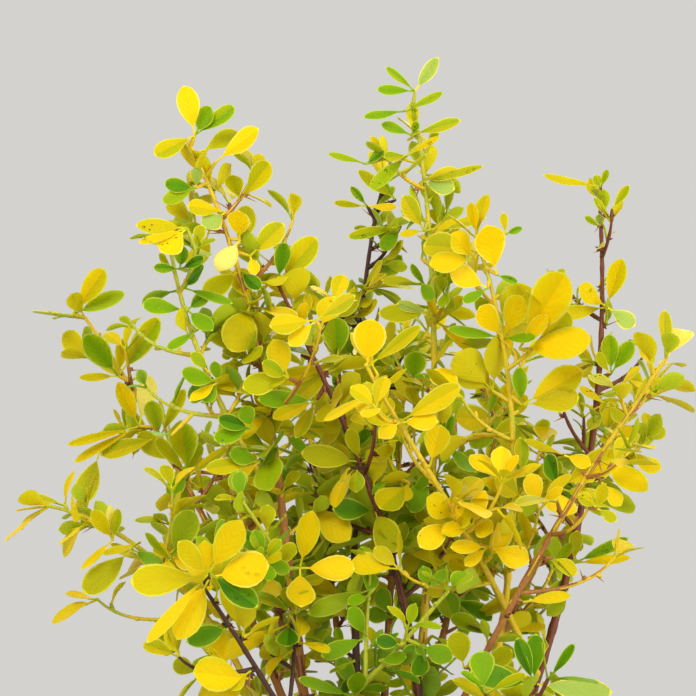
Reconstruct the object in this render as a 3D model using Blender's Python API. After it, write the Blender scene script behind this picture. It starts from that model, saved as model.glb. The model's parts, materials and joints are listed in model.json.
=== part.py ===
"""A golden Japanese barberry, Berberis thunbergii, as a young bush in a plain clay pot.

Slender canes rise from one short rootstock at the soil. Each cane is a bare, tapering bough
below and a mass of twigs and leaves above. Metres, +Z up, with the origin at the middle of
the pot's flat underside. Places in the cane tables are measured from the soil's surface."""

import bpy
import numpy as np
from mathutils.bvhtree import BVHTree

MM = 0.001
UP = np.array([0.0, 0.0, 1.0])
CLEAR = 0.0003  # gap left between two pieces that meet
SEED = 7

# Pot and soil
POT_HEIGHT = 0.150
RIM_RADIUS = 0.0825
RIM_BAND = 0.034
RIM_STEP = 0.0045  # how far the rim band stands out from the wall under it
FOOT_RADIUS = 0.054
POT_WALL = 0.0065
POT_FLOOR = 0.008
POT_SIDES = 36
DRAIN_HOLES = 3
DRAIN_RADIUS = 0.006
DRAIN_RING = 0.030  # distance of each drain hole from the middle
SOIL_BELOW_RIM = 0.015
SOIL_TOP = POT_HEIGHT - SOIL_BELOW_RIM
FOOT_ROUND = 0.002  # the small bevels of the pot's edges
BAND_ROUND = 0.001
LIP_ROUND = 0.003
DRILL_SIDES = 16

# Rootstock: a low dome, the upper part of a ball whose middle is in the soil
STOCK_RADIUS = 0.024
STOCK_SUNK = 0.008
STOCK_FLARE = 0.005  # how far its foot spreads at the soil
STOCK_SIDES = 14
STOCK_RINGS = (0.0025, 0.0075, 0.012, 0.015)  # heights above the soil
FEET_APART = 0.34  # least distance between two feet, in radii of the ball
LOWEST_FOOT = 0.45  # height of the lowest foot above the ball's middle, in radii
PUSH = 0.4  # share of its want of room that each push moves a foot
PUSHES = 300

# Canes
LIFT = 0.010  # length over which a cane leaves the rootstock straight
FORK_LIFT = 0.006  # the same where it leaves another cane
FORK_CLEAR = 0.0005  # from its flat foot to the round bark of that cane
PATH_STEP = 0.0025
BOUGH_STEP = 0.015
BOUGH_SIDES = 5
TWIG_SIDES = 3
TWIG_RING = 0.015

# Twigs and leaves of a mass
GOLDEN_TURN = np.radians(137.5)
TWIG_EVERY = 0.026
FIRST_TWIG = 0.014
TWIG_LENGTH = 0.050  # of the lowest twig of a mass
TWIG_SHORTER = 0.7  # share by which the topmost twig is shorter
TWIG_CHANCE = (0.7, 1.15)
TWIG_BEND = (0.55, 0.25)  # outward and forward, in lengths, of the point that bends a twig
TWIG_END = (0.72, 0.42, 0.22)  # outward, forward and upward of its tip
TWIG_RADIUS = 0.0009
TWIG_TIP_RADIUS = 0.0005
TWIG_SPACE = 0.0085  # least distance of a twig from another cane's axis
LEAF_STAGGER = 0.0013  # step down the stem from one leaf of a node to the next
ROSETTE_EVERY = 0.0240
LEAVES_AT_NODE = 2
LEAVES_AT_TIP = 3
LEAF_LENGTH = (0.0185, 0.0280)
LEAF_WIDTH = 0.60  # of its length
LEAF_THICK = 0.0010
LEAF_SUNK = 0.0002  # how far a leaf's root passes the twig's axis
LEAF_CLEAR_FROM = 0.12  # share of a leaf's length past which it crosses no other leaf or twig
LEAF_AIR = 0.0005  # air kept above and below a leaf
LEAF_SWELL = 1.05  # air kept round its outline, as a growth of the outline
LEAF_CUP = 0.07  # rise of the sides, of its length
FIRST_LEAF = 0.010
LAST_LEAF = 0.004  # least distance of a node from the tip's own leaves
LEAF_TURN = 0.4  # most that a leaf turns round its stem from its even place, in radians
LEAF_ROLL = 25  # degrees
NODE_OPENING = (48, 82)  # angle between a leaf and its stem, in degrees
TIP_OPENING = (18, 50)
TWIG_TRIES = 5
OWN_SPACE = 0.0016  # a leaf's point is this much nearer to its own cane than to the next
GREEN_MASSES = ("west_green", "front_left", "front_green", "back_dark")
GREEN_MASSES += ("back_1", "back_3", "skirt_1", "skirt_4")

# Outline of a leaf from its root round its left side: share of length, share of width
BLADE = np.array([(0, 0), (0.58, 0.5), (0.93, 0.26), (0.93, -0.26), (0.58, -0.5)])
BLADE_MIDDLE = 0.55

# The canes that the picture shows, left to right, in millimetres. Each has: the cane it forks
# from, or None for the rootstock, and how far up that cane; where it leans to low down; where
# it comes from at the top; its tip; its diameter at the foot; how much of it is bare.
SHOWN = {
    "west_low": (None, 0, (-36, 12, 96), (-70, -10, 156), (-124, -16, 168), 3.6, 0.56),
    "west_reach": (None, 0, (-20, 34, 84), (-78, 36, 186), (-116, 44, 240), 4.2, 0.50),
    "front_dark": (None, 0, (-10, -30, 56), (-40, -62, 108), (-62, -70, 142), 3.8, 0.50),
    "west_tall": (None, 0, (-42, -4, 105), (-22, -20, 212), (-71, -18, 306), 4.8, 0.58),
    "west_green": ("west_tall", 0.54, (-52, -30, 196), (-70, -34, 222), (-77, -32, 268), 2.4, 0.22),
    "front_left": ("west_tall", 0.42, (-32, -34, 146), (-40, -46, 158), (-49, -52, 172), 2.0, 0.30),
    "front_green": ("west_tall", 0.24, (-6, -40, 98), (12, -56, 124), (26, -60, 140), 2.2, 0.26),
    "middle_bent": (None, 0, (38, -6, 108), (-6, -10, 188), (-36, -16, 250), 4.4, 0.42),
    "back_dark": (None, 0, (-8, 26, 110), (-14, 44, 230), (4, 46, 294), 3.8, 0.46),
    "tall_lime": (None, 0, (26, 16, 120), (30, 22, 248), (15, 14, 322), 4.2, 0.42),
    "gold_twig": ("east_tall", 0.36, (44, -42, 152), (8, -56, 196), (-4, -60, 222), 2.8, 0.26),
    "east_gold": (None, 0, (62, -4, 118), (62, -2, 204), (38, -16, 270), 3.8, 0.46),
    "east_reach": (None, 0, (26, -32, 106), (80, -44, 186), (106, -50, 224), 3.6, 0.50),
    "east_tall": (None, 0, (82, 14, 100), (94, 20, 206), (88, 18, 286), 4.6, 0.52),
    "front_east": (None, 0, (34, -40, 56), (50, -70, 86), (60, -88, 112), 3.2, 0.50),
}

# Canes behind and low round the bush, by rule: bearing from +X in degrees, reach and height
BACK = ((130, 108, 190), (106, 114, 214), (82, 112, 236), (56, 114, 222), (26, 118, 206))
SKIRT = ((200, 104, 66), (262, 98, 60), (326, 108, 68), (98, 112, 72), (48, 116, 78))
BACK_FOOT = 4.0
SKIRT_FOOT = 3.2
BACK_ARCH = 0.0
SKIRT_ARCH = 0.12
LOW_LEAN = (0.26, 0.42)  # shares of reach and height
HIGH_LEAN = (0.74, 0.84)
RULED_BARE = 0.46
CANE_TIP = 0.0013


def unit(v):
    """The vector, or each row, at length one."""
    return v / np.linalg.norm(v, axis=-1, keepdims=True)


def bezier(controls, count):
    """Points on the curve that these controls pull, by repeated halving between neighbours."""
    share = np.linspace(0, 1, count)[:, None, None]
    rows = np.repeat(np.asarray(controls, float)[None], count, axis=0)
    while rows.shape[1] > 1:
        rows = rows[:, :-1] * (1 - share) + rows[:, 1:] * share
    return rows[:, 0]


def evenly(points, step):
    """The same path with its points a step apart along its length."""
    run = np.concatenate([[0], np.cumsum(np.linalg.norm(np.diff(points, axis=0), axis=1))])
    at = np.linspace(0, run[-1], max(round(run[-1] / step), 2) + 1)
    return np.stack([np.interp(at, run, points[:, axis]) for axis in range(3)], axis=1)


def path_point(points, place):
    """The point at this place, counted in points and parts of the way to the next."""
    places = np.arange(len(points))
    return np.array([np.interp(place, places, points[:, axis]) for axis in range(3)])


def ring_places(count, spacing):
    """Which of a path's points carry a ring of its tube, both ends included."""
    rings = max(round((count - 1) * PATH_STEP / spacing), 2) + 1
    return np.linspace(0, count - 1, rings).round().astype(int)


def axes_along(points):
    """Forward, side and rise at each point of a path that never turns back on its chord."""
    forward = unit(np.gradient(points, axis=0))
    chord = np.abs(points[-1] - points[0])
    level = np.eye(3)[np.argmin(chord)]
    side = unit(np.cross(forward, level))
    return forward, side, np.cross(forward, side)


def ruled_cane(bearing, reach, height, arch, foot):
    """A row like those above for a cane that leaves on this bearing and arches over."""
    out = np.array([np.cos(np.radians(bearing)), np.sin(np.radians(bearing)), 0]) * reach
    up = UP * height
    low = out * LOW_LEAN[0] + up * (LOW_LEAN[1] + arch)
    high = out * HIGH_LEAN[0] + up * (HIGH_LEAN[1] + arch)
    return None, 0, low, high, out + up, foot, RULED_BARE


def cane_table():
    """Every cane by name, in metres: the shown ones first, then those given by rule."""
    table = dict(SHOWN)
    for number, row in enumerate(BACK):
        table[f"back_{number + 1}"] = ruled_cane(*row, BACK_ARCH, BACK_FOOT)
    for number, row in enumerate(SKIRT):
        table[f"skirt_{number + 1}"] = ruled_cane(*row, SKIRT_ARCH, SKIRT_FOOT)
    for name, (parent, share, low, high, tip, thick, bare) in table.items():
        places = [np.asarray(point) * MM for point in (low, high, tip)]
        table[name] = (parent, share, *places, thick * MM, bare)
    return table


def feet_on_stock(table):
    """Direction from the ball's middle to each foot, pushed apart until all have room."""
    names = [name for name, cane in table.items() if cane[0] is None]
    middle = np.array([0, 0, -STOCK_SUNK])
    feet = unit(np.array([table[name][2] - middle for name in names]))
    for _ in range(PUSHES):
        apart = feet[:, None] - feet[None]
        far = np.linalg.norm(apart, axis=2) + np.eye(len(feet))
        push = np.clip(FEET_APART - far, 0, None) * (1 - np.eye(len(feet)))
        feet = feet + PUSH * (apart / far[..., None] * push[..., None]).sum(axis=1)
        feet[:, 2] = np.maximum(feet[:, 2], LOWEST_FOOT)
        feet = unit(feet)
    return dict(zip(names, feet))


def cane_paths(table):
    """Axis points and radii of each cane, in the pot's frame."""
    feet = feet_on_stock(table)
    base = UP * SOIL_TOP
    middle = np.array([0, 0, -STOCK_SUNK])
    paths = {}
    for name in sorted(table, key=lambda name: table[name][0] is not None):
        parent, share, low, high, tip, thick, bare = table[name]
        if parent is None:
            foot = middle + feet[name] * (STOCK_RADIUS + CLEAR)
            lift = feet[name] * LIFT
        else:
            points, radii = paths[parent]
            place = round(share * (len(points) - 1))
            forward = axes_along(points)[0][place]
            away = low + base - points[place]
            away = unit(away - forward * (away @ forward))
            foot = points[place] + away * (radii[place] + FORK_CLEAR) - base
            lift = away * FORK_LIFT
        points = evenly(bezier([foot, foot + lift, low, high, tip], 200) + base, PATH_STEP)
        paths[name] = points, np.linspace(thick, CANE_TIP, len(points)) / 2
    return {name: paths[name] for name in table}


def material(name, colour, roughness):
    """A Principled material of one colour."""
    made = bpy.data.materials.new(name)
    made.use_nodes = True
    made.diffuse_color = (*colour, 1)
    shader = made.node_tree.nodes["Principled BSDF"]
    shader.inputs["Base Color"].default_value = (*colour, 1)
    shader.inputs["Roughness"].default_value = roughness
    shader.inputs["Metallic"].default_value = 0
    return made


def solid(name, points, faces, finish, collection=None):
    """A mesh object from arrays of points and faces."""
    mesh = bpy.data.meshes.new(name)
    mesh.from_pydata([tuple(point) for point in points], [], [tuple(face) for face in faces])
    mesh.materials.append(finish)
    made = bpy.data.objects.new(name, mesh)
    (collection or bpy.context.scene.collection).objects.link(made)
    return made


def tube(points, axes, radii, sides):
    """Points and faces of a closed tapering tube along a path."""
    _, side, rise = axes
    turn = np.arange(sides) * 2 * np.pi / sides
    across, above = np.cos(turn)[None, :, None], np.sin(turn)[None, :, None]
    ring = side[:, None] * across + rise[:, None] * above
    places = (points[:, None] + ring * radii[:, None, None]).reshape(-1, 3)
    faces = [tuple(range(sides - 1, -1, -1))]
    for row in range(len(points) - 1):
        for column in range(sides):
            after = (column + 1) % sides
            low, high = row * sides, (row + 1) * sides
            faces.append((low + column, low + after, high + after, high + column))
    last = (len(points) - 1) * sides
    faces.append(tuple(range(last, last + sides)))
    return places, faces


def blade(root, along, up, length):
    """Points and faces of a leaf: its outline, and a middle point above and below it."""
    across = np.cross(up, along)
    share, side = BLADE[:, :1], BLADE[:, 1:]
    outline = root + along * length * share + across * length * LEAF_WIDTH * side
    outline = outline + up * length * LEAF_CUP * np.abs(side) * 2
    outline[0] = root - along * LEAF_SUNK
    middle = root + along * length * BLADE_MIDDLE
    half = up * LEAF_THICK / 2
    count = len(BLADE)
    faces = [(count, (at + 1) % count, at) for at in range(count)]
    faces += [(count + 1, at, (at + 1) % count) for at in range(count)]
    return np.vstack([outline, middle + half, middle - half]), faces


def turned(name, profile, sides, finish):
    """A solid turned round Z from a closed profile of radius and height, both ends on the axis."""
    ring = np.arange(sides) * 2 * np.pi / sides
    inner = profile[1:-1]
    points = [(r * np.cos(a), r * np.sin(a), z) for r, z in inner for a in ring]
    first, last = len(points), len(points) + 1
    points += [(0, 0, profile[0][1]), (0, 0, profile[-1][1])]
    faces = []
    for at in range(sides):
        after = (at + 1) % sides
        faces.append((first, after, at))
        for row in range(len(inner) - 1):
            low, high = row * sides, (row + 1) * sides
            faces.append((low + at, low + after, high + after, high + at))
        top = (len(inner) - 1) * sides
        faces.append((top + at, top + after, last))
    made = solid(name, points, faces, finish)
    made.data.shade_smooth()
    made.data.set_sharp_from_angle(angle=np.radians(30))
    return made


def wall_radius(height):
    """Outer radius of the pot's wall under the rim band."""
    share = height / (POT_HEIGHT - RIM_BAND)
    return FOOT_RADIUS + (RIM_RADIUS - RIM_STEP - FOOT_RADIUS) * share


def make_pot(clay):
    """A clay pot with a plain rim band, drain holes and an inside that follows the wall."""
    band_foot = POT_HEIGHT - RIM_BAND
    profile = [
        (0, 0),
        (FOOT_RADIUS - FOOT_ROUND, 0),
        (FOOT_RADIUS, FOOT_ROUND),
        (wall_radius(band_foot), band_foot),
        (RIM_RADIUS - BAND_ROUND, band_foot + BAND_ROUND),
        (RIM_RADIUS, POT_HEIGHT - LIP_ROUND),
        (RIM_RADIUS - LIP_ROUND, POT_HEIGHT),
        (RIM_RADIUS - RIM_STEP - POT_WALL, POT_HEIGHT),
        (wall_radius(band_foot) - POT_WALL, band_foot),
        (wall_radius(POT_FLOOR) - POT_WALL, POT_FLOOR),
        (0, POT_FLOOR),
    ]
    pot = turned("pot", profile, POT_SIDES, clay)
    for number in range(DRAIN_HOLES):
        turn = number * 2 * np.pi / DRAIN_HOLES + np.pi / 6
        bpy.ops.mesh.primitive_cylinder_add(
            vertices=DRILL_SIDES, radius=DRAIN_RADIUS, depth=POT_FLOOR * 3
        )
        drill = bpy.context.object
        drill.name = f"drain_drill_{number + 1}"
        drill.location = (DRAIN_RING * np.cos(turn), DRAIN_RING * np.sin(turn), POT_FLOOR / 2)
        drill.hide_render = True
        drill.display_type = "WIRE"
        cut = pot.modifiers.new("Drain hole", "BOOLEAN")
        cut.operation = "DIFFERENCE"
        cut.object = drill
    return pot


def make_soil(earth):
    """Potting soil that fills the pot, clear of its wall and floor."""
    band_foot = POT_HEIGHT - RIM_BAND
    inside = POT_WALL + CLEAR
    top = wall_radius(band_foot) - inside
    profile = [
        (0, POT_FLOOR + CLEAR),
        (wall_radius(POT_FLOOR) - inside, POT_FLOOR + CLEAR),
        (top, band_foot),
        (top, SOIL_TOP),
        (0, SOIL_TOP),
    ]
    return turned("soil", profile, POT_SIDES, earth)


def make_rootstock(bark):
    """The low dome that the canes rise from, flared to a flat cut at the soil."""
    edge = np.sqrt(STOCK_RADIUS**2 - STOCK_SUNK**2)
    profile = [(0, SOIL_TOP + CLEAR), (edge + STOCK_FLARE, SOIL_TOP + CLEAR)]
    for height in STOCK_RINGS:
        radius = np.sqrt(STOCK_RADIUS**2 - (height + STOCK_SUNK) ** 2)
        profile.append((radius, SOIL_TOP + height))
    profile.append((0, SOIL_TOP + STOCK_RADIUS - STOCK_SUNK))
    return turned("rootstock", profile, STOCK_SIDES, bark)


def bare_place(cane, points):
    """Which point of a cane's path ends its bare bough and starts its leafy mass."""
    return round(cane[6] * (len(points) - 1))


def least_distance(points, others):
    """Distance from each point to the nearest of the others."""
    return np.linalg.norm(points[:, None] - others[None], axis=2).min(axis=1)


def grow_twigs(number, stem, others):
    """Rings' middles of each side twig of one mass, which turn by the golden angle up its stem
    and stay clear of the other canes."""
    forward, side, rise = axes_along(stem)
    chance = np.random.default_rng([SEED, number])
    end = (len(stem) - 1) * PATH_STEP
    turn = chance.uniform(0, 2 * np.pi)
    twigs = []
    for at in np.arange(FIRST_TWIG, end - FIRST_TWIG, TWIG_EVERY):
        place = round(at / PATH_STEP)
        share = at / end
        length = TWIG_LENGTH * (1 - TWIG_SHORTER * share) * chance.uniform(*TWIG_CHANCE)
        turn += GOLDEN_TURN
        for attempt in range(TWIG_TRIES):
            spin = turn + attempt * GOLDEN_TURN
            out = side[place] * np.cos(spin) + rise[place] * np.sin(spin)
            root = stem[place]
            ahead = forward[place]
            bend = root + (out * TWIG_BEND[0] + ahead * TWIG_BEND[1]) * length
            tip = root + (out * TWIG_END[0] + ahead * TWIG_END[1] + UP * TWIG_END[2]) * length
            path = evenly(bezier([root, bend, tip], 30), PATH_STEP)
            if least_distance(path[2:], others).min() > TWIG_SPACE:
                twigs.append(path[ring_places(len(path), TWIG_RING)])
                break
    return twigs


def leaf_places(stems, chance):
    """Root, direction, upper side and length of each leaf that the stems of a mass may bear."""
    for order, path in enumerate(stems):
        forward, side, rise = axes_along(path)
        turn = chance.uniform(0, 2 * np.pi)
        last = len(path) - 1
        first = FIRST_LEAF if order else FIRST_LEAF / 2
        nodes = np.arange(first, last * PATH_STEP - LAST_LEAF, ROSETTE_EVERY)
        for place in [*(round(at / PATH_STEP) for at in nodes), last]:
            count, range_of = LEAVES_AT_NODE, NODE_OPENING
            if place == last:
                count, range_of = LEAVES_AT_TIP, TIP_OPENING
            turn += GOLDEN_TURN
            for leaf in range(count):
                spin = turn + leaf * 2 * np.pi / count + chance.uniform(-LEAF_TURN, LEAF_TURN)
                opening = np.radians(chance.uniform(*range_of))
                out = side[place] * np.cos(spin) + rise[place] * np.sin(spin)
                along = forward[place] * np.cos(opening) + out * np.sin(opening)
                up = forward[place] * np.sin(opening) - out * np.cos(opening)
                roll = np.radians(chance.uniform(-LEAF_ROLL, LEAF_ROLL))
                up = up * np.cos(roll) + np.cross(along, up) * np.sin(roll)
                step_down = LEAF_STAGGER * (leaf + 1) / PATH_STEP
                root = path_point(path, place - step_down)
                yield root, along, up, chance.uniform(*LEAF_LENGTH)


def surface(points, faces):
    """A search tree of a small mesh, for testing whether two of them cross."""
    return BVHTree.FromPolygons(points.tolist(), faces)


def with_air(points, root, up):
    """A leaf's points for testing: its root moved out past the twig, the rest a little swollen."""
    count = len(BLADE)
    middle = points[count:].mean(axis=0)
    airy = middle + (points - middle) * LEAF_SWELL
    airy[0] = root + (middle - root) * LEAF_CLEAR_FROM / BLADE_MIDDLE
    airy[count] += up * LEAF_AIR
    airy[count + 1] -= up * LEAF_AIR
    return airy


def grow_leaves(number, stems, others, taken):
    """The leaves of one mass that keep to its own space and cross no limb, twig or other leaf.
    Taken holds the surfaces in the way, and gets the new leaves."""
    chance = np.random.default_rng([SEED, number, 1])
    own = np.vstack(stems)
    leaves = []
    for root, along, up, length in leaf_places(stems, chance):
        points, faces = blade(root, along, up, length)
        outline = points[: len(BLADE)]
        tested = np.vstack([points[1:], (outline + np.roll(outline, -1, axis=0))[1:-1] / 2])
        spare = least_distance(tested, others) - least_distance(tested, own)
        if spare.min() < OWN_SPACE:
            continue
        shape = surface(with_air(points, root, up), faces)
        if not any(shape.overlap(tree) for tree in taken):
            leaves.append((points, faces))
            taken.append(shape)
    return leaves


def joined(name, pieces, finish):
    """One closed solid: the first piece with all the others fused on by one Boolean union."""
    extras = bpy.data.collections.new(f"{name}_pieces")
    bpy.context.scene.collection.children.link(extras)
    base = solid(name, *pieces[0], finish)
    for number, (points, faces) in enumerate(pieces[1:]):
        solid(f"{name}_piece_{number}", points, faces, finish, extras)
    union = base.modifiers.new("Fuse", "BOOLEAN")
    union.operation = "UNION"
    union.operand_type = "COLLECTION"
    union.collection = extras
    union.solver = "EXACT"
    graph = bpy.context.evaluated_depsgraph_get()
    fused = bpy.data.meshes.new_from_object(base.evaluated_get(graph))
    base.modifiers.clear()
    base.data = fused
    for piece in list(extras.objects):
        bpy.data.meshes.remove(piece.data)
    bpy.data.collections.remove(extras)
    return base


def bough_tube(cane, path):
    """Points and faces of a cane's bare lower limb, with a flat end where its mass begins."""
    points, radii = path
    kept = ring_places(bare_place(cane, points) + 1, BOUGH_STEP)
    axes = [axis[kept] for axis in axes_along(points)]
    return tube(points[kept], axes, radii[kept], BOUGH_SIDES)


def twig_tubes(cane, path, twigs):
    """Tubes of a mass's stem, which starts just clear of its bough, and of its side twigs."""
    points, radii = path
    start = bare_place(cane, points)
    kept = start + ring_places(len(points) - start, TWIG_RING)
    axes = [axis[kept] for axis in axes_along(points)]
    stem = points[kept].copy()
    stem[0] += axes[0][0] * CLEAR
    tubes = [tube(stem, axes, radii[kept], TWIG_SIDES)]
    for rings in twigs:
        taper = np.linspace(TWIG_RADIUS, TWIG_TIP_RADIUS, len(rings))
        tubes.append(tube(rings, axes_along(rings), taper, TWIG_SIDES))
    return tubes


def main():
    for old in list(bpy.data.objects):
        bpy.data.objects.remove(old)
    clay = material("Fired clay", (0.52, 0.20, 0.10), 0.85)
    earth = material("Potting soil", (0.035, 0.022, 0.014), 0.95)
    bark = material("Red-brown bark", (0.16, 0.065, 0.035), 0.75)
    golden = material("Golden leaf", (0.72, 0.62, 0.04), 0.5)
    green = material("Lime green leaf", (0.34, 0.50, 0.05), 0.5)

    table = cane_table()
    paths = cane_paths(table)
    make_pot(clay)
    make_soil(earth)
    make_rootstock(bark)

    boughs = {}
    stems = {}
    tubes = {}
    for number, name in enumerate(table):
        points = paths[name][0]
        upper = points[bare_place(table[name], points) :]
        stem = evenly(upper[ring_places(len(upper), TWIG_RING)], PATH_STEP)
        grown = [twig for mass in stems.values() for twig in mass[1:]]
        others = np.vstack([*(paths[other][0] for other in table if other != name), *grown])
        twigs = grow_twigs(number, stem, others)
        stems[name] = [stem, *(evenly(rings, PATH_STEP) for rings in twigs)]
        boughs[name] = bough_tube(table[name], paths[name])
        tubes[name] = twig_tubes(table[name], paths[name], twigs)

    taken = [surface(*bough) for bough in boughs.values()]
    taken += [surface(*twig) for mass in tubes.values() for twig in mass]
    for number, name in enumerate(table):
        rest = [other for other in table if other != name]
        others = np.vstack([path for other in rest for path in [paths[other][0], *stems[other]]])
        leaves = grow_leaves(number, stems[name], others, taken)
        solid(f"{name}_bough", *boughs[name], bark)
        finish = green if name in GREEN_MASSES else golden
        made = joined(f"{name}_leaves", tubes[name] + leaves, finish)
        print(f"{name}: {len(leaves)} leaves, {len(made.data.polygons)} faces")


main()
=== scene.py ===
# %% [markdown]
# A golden Japanese barberry is a bush of slender canes that rise from one rootstock. Each
# cane is bare and red-brown below, and bears tufts of small, spoon-shaped leaves above. A
# modeller could scan it or scatter leaf cards, but a growth rule written in a few functions
# keeps every leaf joined to a twig. The solids in the frame were grown by the same rule.

# %% The frame
import json
from collections import namedtuple
import bpy
import numpy as np
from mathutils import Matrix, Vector

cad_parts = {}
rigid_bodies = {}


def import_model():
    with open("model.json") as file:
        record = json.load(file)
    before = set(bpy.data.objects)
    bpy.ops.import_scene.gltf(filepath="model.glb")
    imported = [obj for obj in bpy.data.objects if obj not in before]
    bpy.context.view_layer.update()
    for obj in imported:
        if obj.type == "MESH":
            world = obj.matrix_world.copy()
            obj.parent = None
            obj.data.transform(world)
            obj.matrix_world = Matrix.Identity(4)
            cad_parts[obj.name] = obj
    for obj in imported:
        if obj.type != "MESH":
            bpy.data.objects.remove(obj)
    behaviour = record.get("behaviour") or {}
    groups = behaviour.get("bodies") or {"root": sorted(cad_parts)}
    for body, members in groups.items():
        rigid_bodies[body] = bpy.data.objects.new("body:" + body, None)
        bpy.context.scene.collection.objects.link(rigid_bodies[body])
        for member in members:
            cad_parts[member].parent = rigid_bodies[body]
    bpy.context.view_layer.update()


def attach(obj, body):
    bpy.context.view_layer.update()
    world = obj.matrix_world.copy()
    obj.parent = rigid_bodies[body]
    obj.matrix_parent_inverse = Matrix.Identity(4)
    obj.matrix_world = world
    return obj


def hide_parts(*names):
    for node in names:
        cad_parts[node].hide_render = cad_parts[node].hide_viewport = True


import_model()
MM = 0.001
UP = np.array([0.0, 0.0, 1.0])

# %% [markdown]
# The picture gives the scale: its leaves are 12 to 25 mm long in life, which makes one
# millimetre 2.6 of its pixels at the bush's middle. The camera therefore sees 268 mm of the
# bush from one metre away, level with the middle of the picture and a little left of the pot.

# %% Picture and camera
PHOTO_SIDE = 696
PIXELS_PER_MM = 2.6
SOIL_PIXEL = 940  # row where the soil would lie, below the picture's edge
STEM_PIXEL = 375  # column of the pot's axis
VIEW_DISTANCE = 1.0
SENSOR = 36.0
VIEW_WIDTH = PHOTO_SIDE / PIXELS_PER_MM * MM
SOIL_TOP = 0.135
VIEW_X = (PHOTO_SIDE / 2 - STEM_PIXEL) / PIXELS_PER_MM * MM
VIEW_Z = SOIL_TOP + (SOIL_PIXEL - PHOTO_SIDE / 2) / PIXELS_PER_MM * MM

camera_data = bpy.data.cameras.new("Camera")
camera_data.sensor_width = SENSOR
camera_data.lens = SENSOR * VIEW_DISTANCE / VIEW_WIDTH
camera = bpy.data.objects.new("Camera", camera_data)
camera.location = (VIEW_X, -VIEW_DISTANCE, VIEW_Z)
camera.rotation_euler = (np.pi / 2, 0, 0)
bpy.context.scene.collection.objects.link(camera)
bpy.context.scene.camera = camera
print(f"the lens is {camera_data.lens:.0f} mm, and the camera stands {VIEW_Z / MM:.0f} mm up")

# %% [markdown]
# Every cane is one smooth curve pulled by four or five control points. The first lies on the
# rootstock, or on the cane that it forks from, the next lifts it off squarely, and the others
# lean it out and bring it to its tip. The canes that the picture shows have their own rows.
# Those behind and low round the foot follow a rule, so that the bush is full from all sides.

# %% Canes
Cane = namedtuple("Cane", "parent share low high tip foot bare")
# Millimetres: the cane it forks from and how far up, low lean, high lean, tip, foot, bare share
SHOWN = {
    "west_low": (None, 0, (-36, 12, 96), (-70, -10, 156), (-124, -16, 168), 3.6, 0.56),
    "west_reach": (None, 0, (-20, 34, 84), (-78, 36, 186), (-116, 44, 240), 4.2, 0.50),
    "front_dark": (None, 0, (-10, -30, 56), (-40, -62, 108), (-62, -70, 142), 3.8, 0.50),
    "west_tall": (None, 0, (-42, -4, 105), (-22, -20, 212), (-71, -18, 306), 4.8, 0.58),
    "west_green": ("west_tall", 0.54, (-52, -30, 196), (-70, -34, 222), (-77, -32, 268), 2.4, 0.22),
    "front_left": ("west_tall", 0.42, (-32, -34, 146), (-40, -46, 158), (-49, -52, 172), 2.0, 0.30),
    "front_green": ("west_tall", 0.24, (-6, -40, 98), (12, -56, 124), (26, -60, 140), 2.2, 0.26),
    "middle_bent": (None, 0, (38, -6, 108), (-6, -10, 188), (-36, -16, 250), 4.4, 0.42),
    "back_dark": (None, 0, (-8, 26, 110), (-14, 44, 230), (4, 46, 294), 3.8, 0.46),
    "tall_lime": (None, 0, (26, 16, 120), (30, 22, 248), (15, 14, 322), 4.2, 0.42),
    "gold_twig": ("east_tall", 0.36, (44, -42, 152), (8, -56, 196), (-4, -60, 222), 2.8, 0.26),
    "east_gold": (None, 0, (62, -4, 118), (62, -2, 204), (38, -16, 270), 3.8, 0.46),
    "east_reach": (None, 0, (26, -32, 106), (80, -44, 186), (106, -50, 224), 3.6, 0.50),
    "east_tall": (None, 0, (82, 14, 100), (94, 20, 206), (88, 18, 286), 4.6, 0.52),
    "front_east": (None, 0, (34, -40, 56), (50, -70, 86), (60, -88, 112), 3.2, 0.50),
}
# By rule: bearing from +X in degrees, reach and height
BACK = ((130, 108, 190), (106, 114, 214), (82, 112, 236), (56, 114, 222), (26, 118, 206))
SKIRT = ((200, 104, 66), (262, 98, 60), (326, 108, 68), (98, 112, 72), (48, 116, 78))
BACK_FOOT = 4.0
SKIRT_FOOT = 3.2
BACK_ARCH = 0.0  # how much higher a cane bows on its way, as a share of its height
SKIRT_ARCH = 0.12
LOW_LEAN = (0.26, 0.42)  # shares of reach and height
HIGH_LEAN = (0.74, 0.84)
RULED_BARE = 0.46


def ruled_cane(bearing, reach, height, arch, foot):
    """A row like those above for a cane that leaves on this bearing and arches over."""
    out = np.array([np.cos(np.radians(bearing)), np.sin(np.radians(bearing)), 0]) * reach
    up = UP * height
    low = out * LOW_LEAN[0] + up * (LOW_LEAN[1] + arch)
    high = out * HIGH_LEAN[0] + up * (HIGH_LEAN[1] + arch)
    return None, 0, low, high, out + up, foot, RULED_BARE


def cane_table():
    """Every cane by name, in metres: the shown ones first, then those given by rule."""
    rows = dict(SHOWN)
    for number, row in enumerate(BACK, 1):
        rows[f"back_{number}"] = ruled_cane(*row, BACK_ARCH, BACK_FOOT)
    for number, row in enumerate(SKIRT, 1):
        rows[f"skirt_{number}"] = ruled_cane(*row, SKIRT_ARCH, SKIRT_FOOT)
    table = {}
    for name, (parent, share, low, high, tip, foot, bare) in rows.items():
        places = [np.asarray(point) * MM for point in (low, high, tip)]
        table[name] = Cane(parent, share, *places, foot * MM, bare)
    return table


TABLE = cane_table()
print(f"{len(SHOWN)} canes that the picture shows, {len(TABLE) - len(SHOWN)} by rule")

# %% [markdown]
# The helpers of the growth rule work on whole arrays of points. A path is a row of points an
# even step apart, and three unit vectors ride along it: forward, to the side and the rise.

# %% Paths
PATH_STEP = 0.0025


def unit(v):
    """The vector, or each row, at length one."""
    return v / np.linalg.norm(v, axis=-1, keepdims=True)


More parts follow.
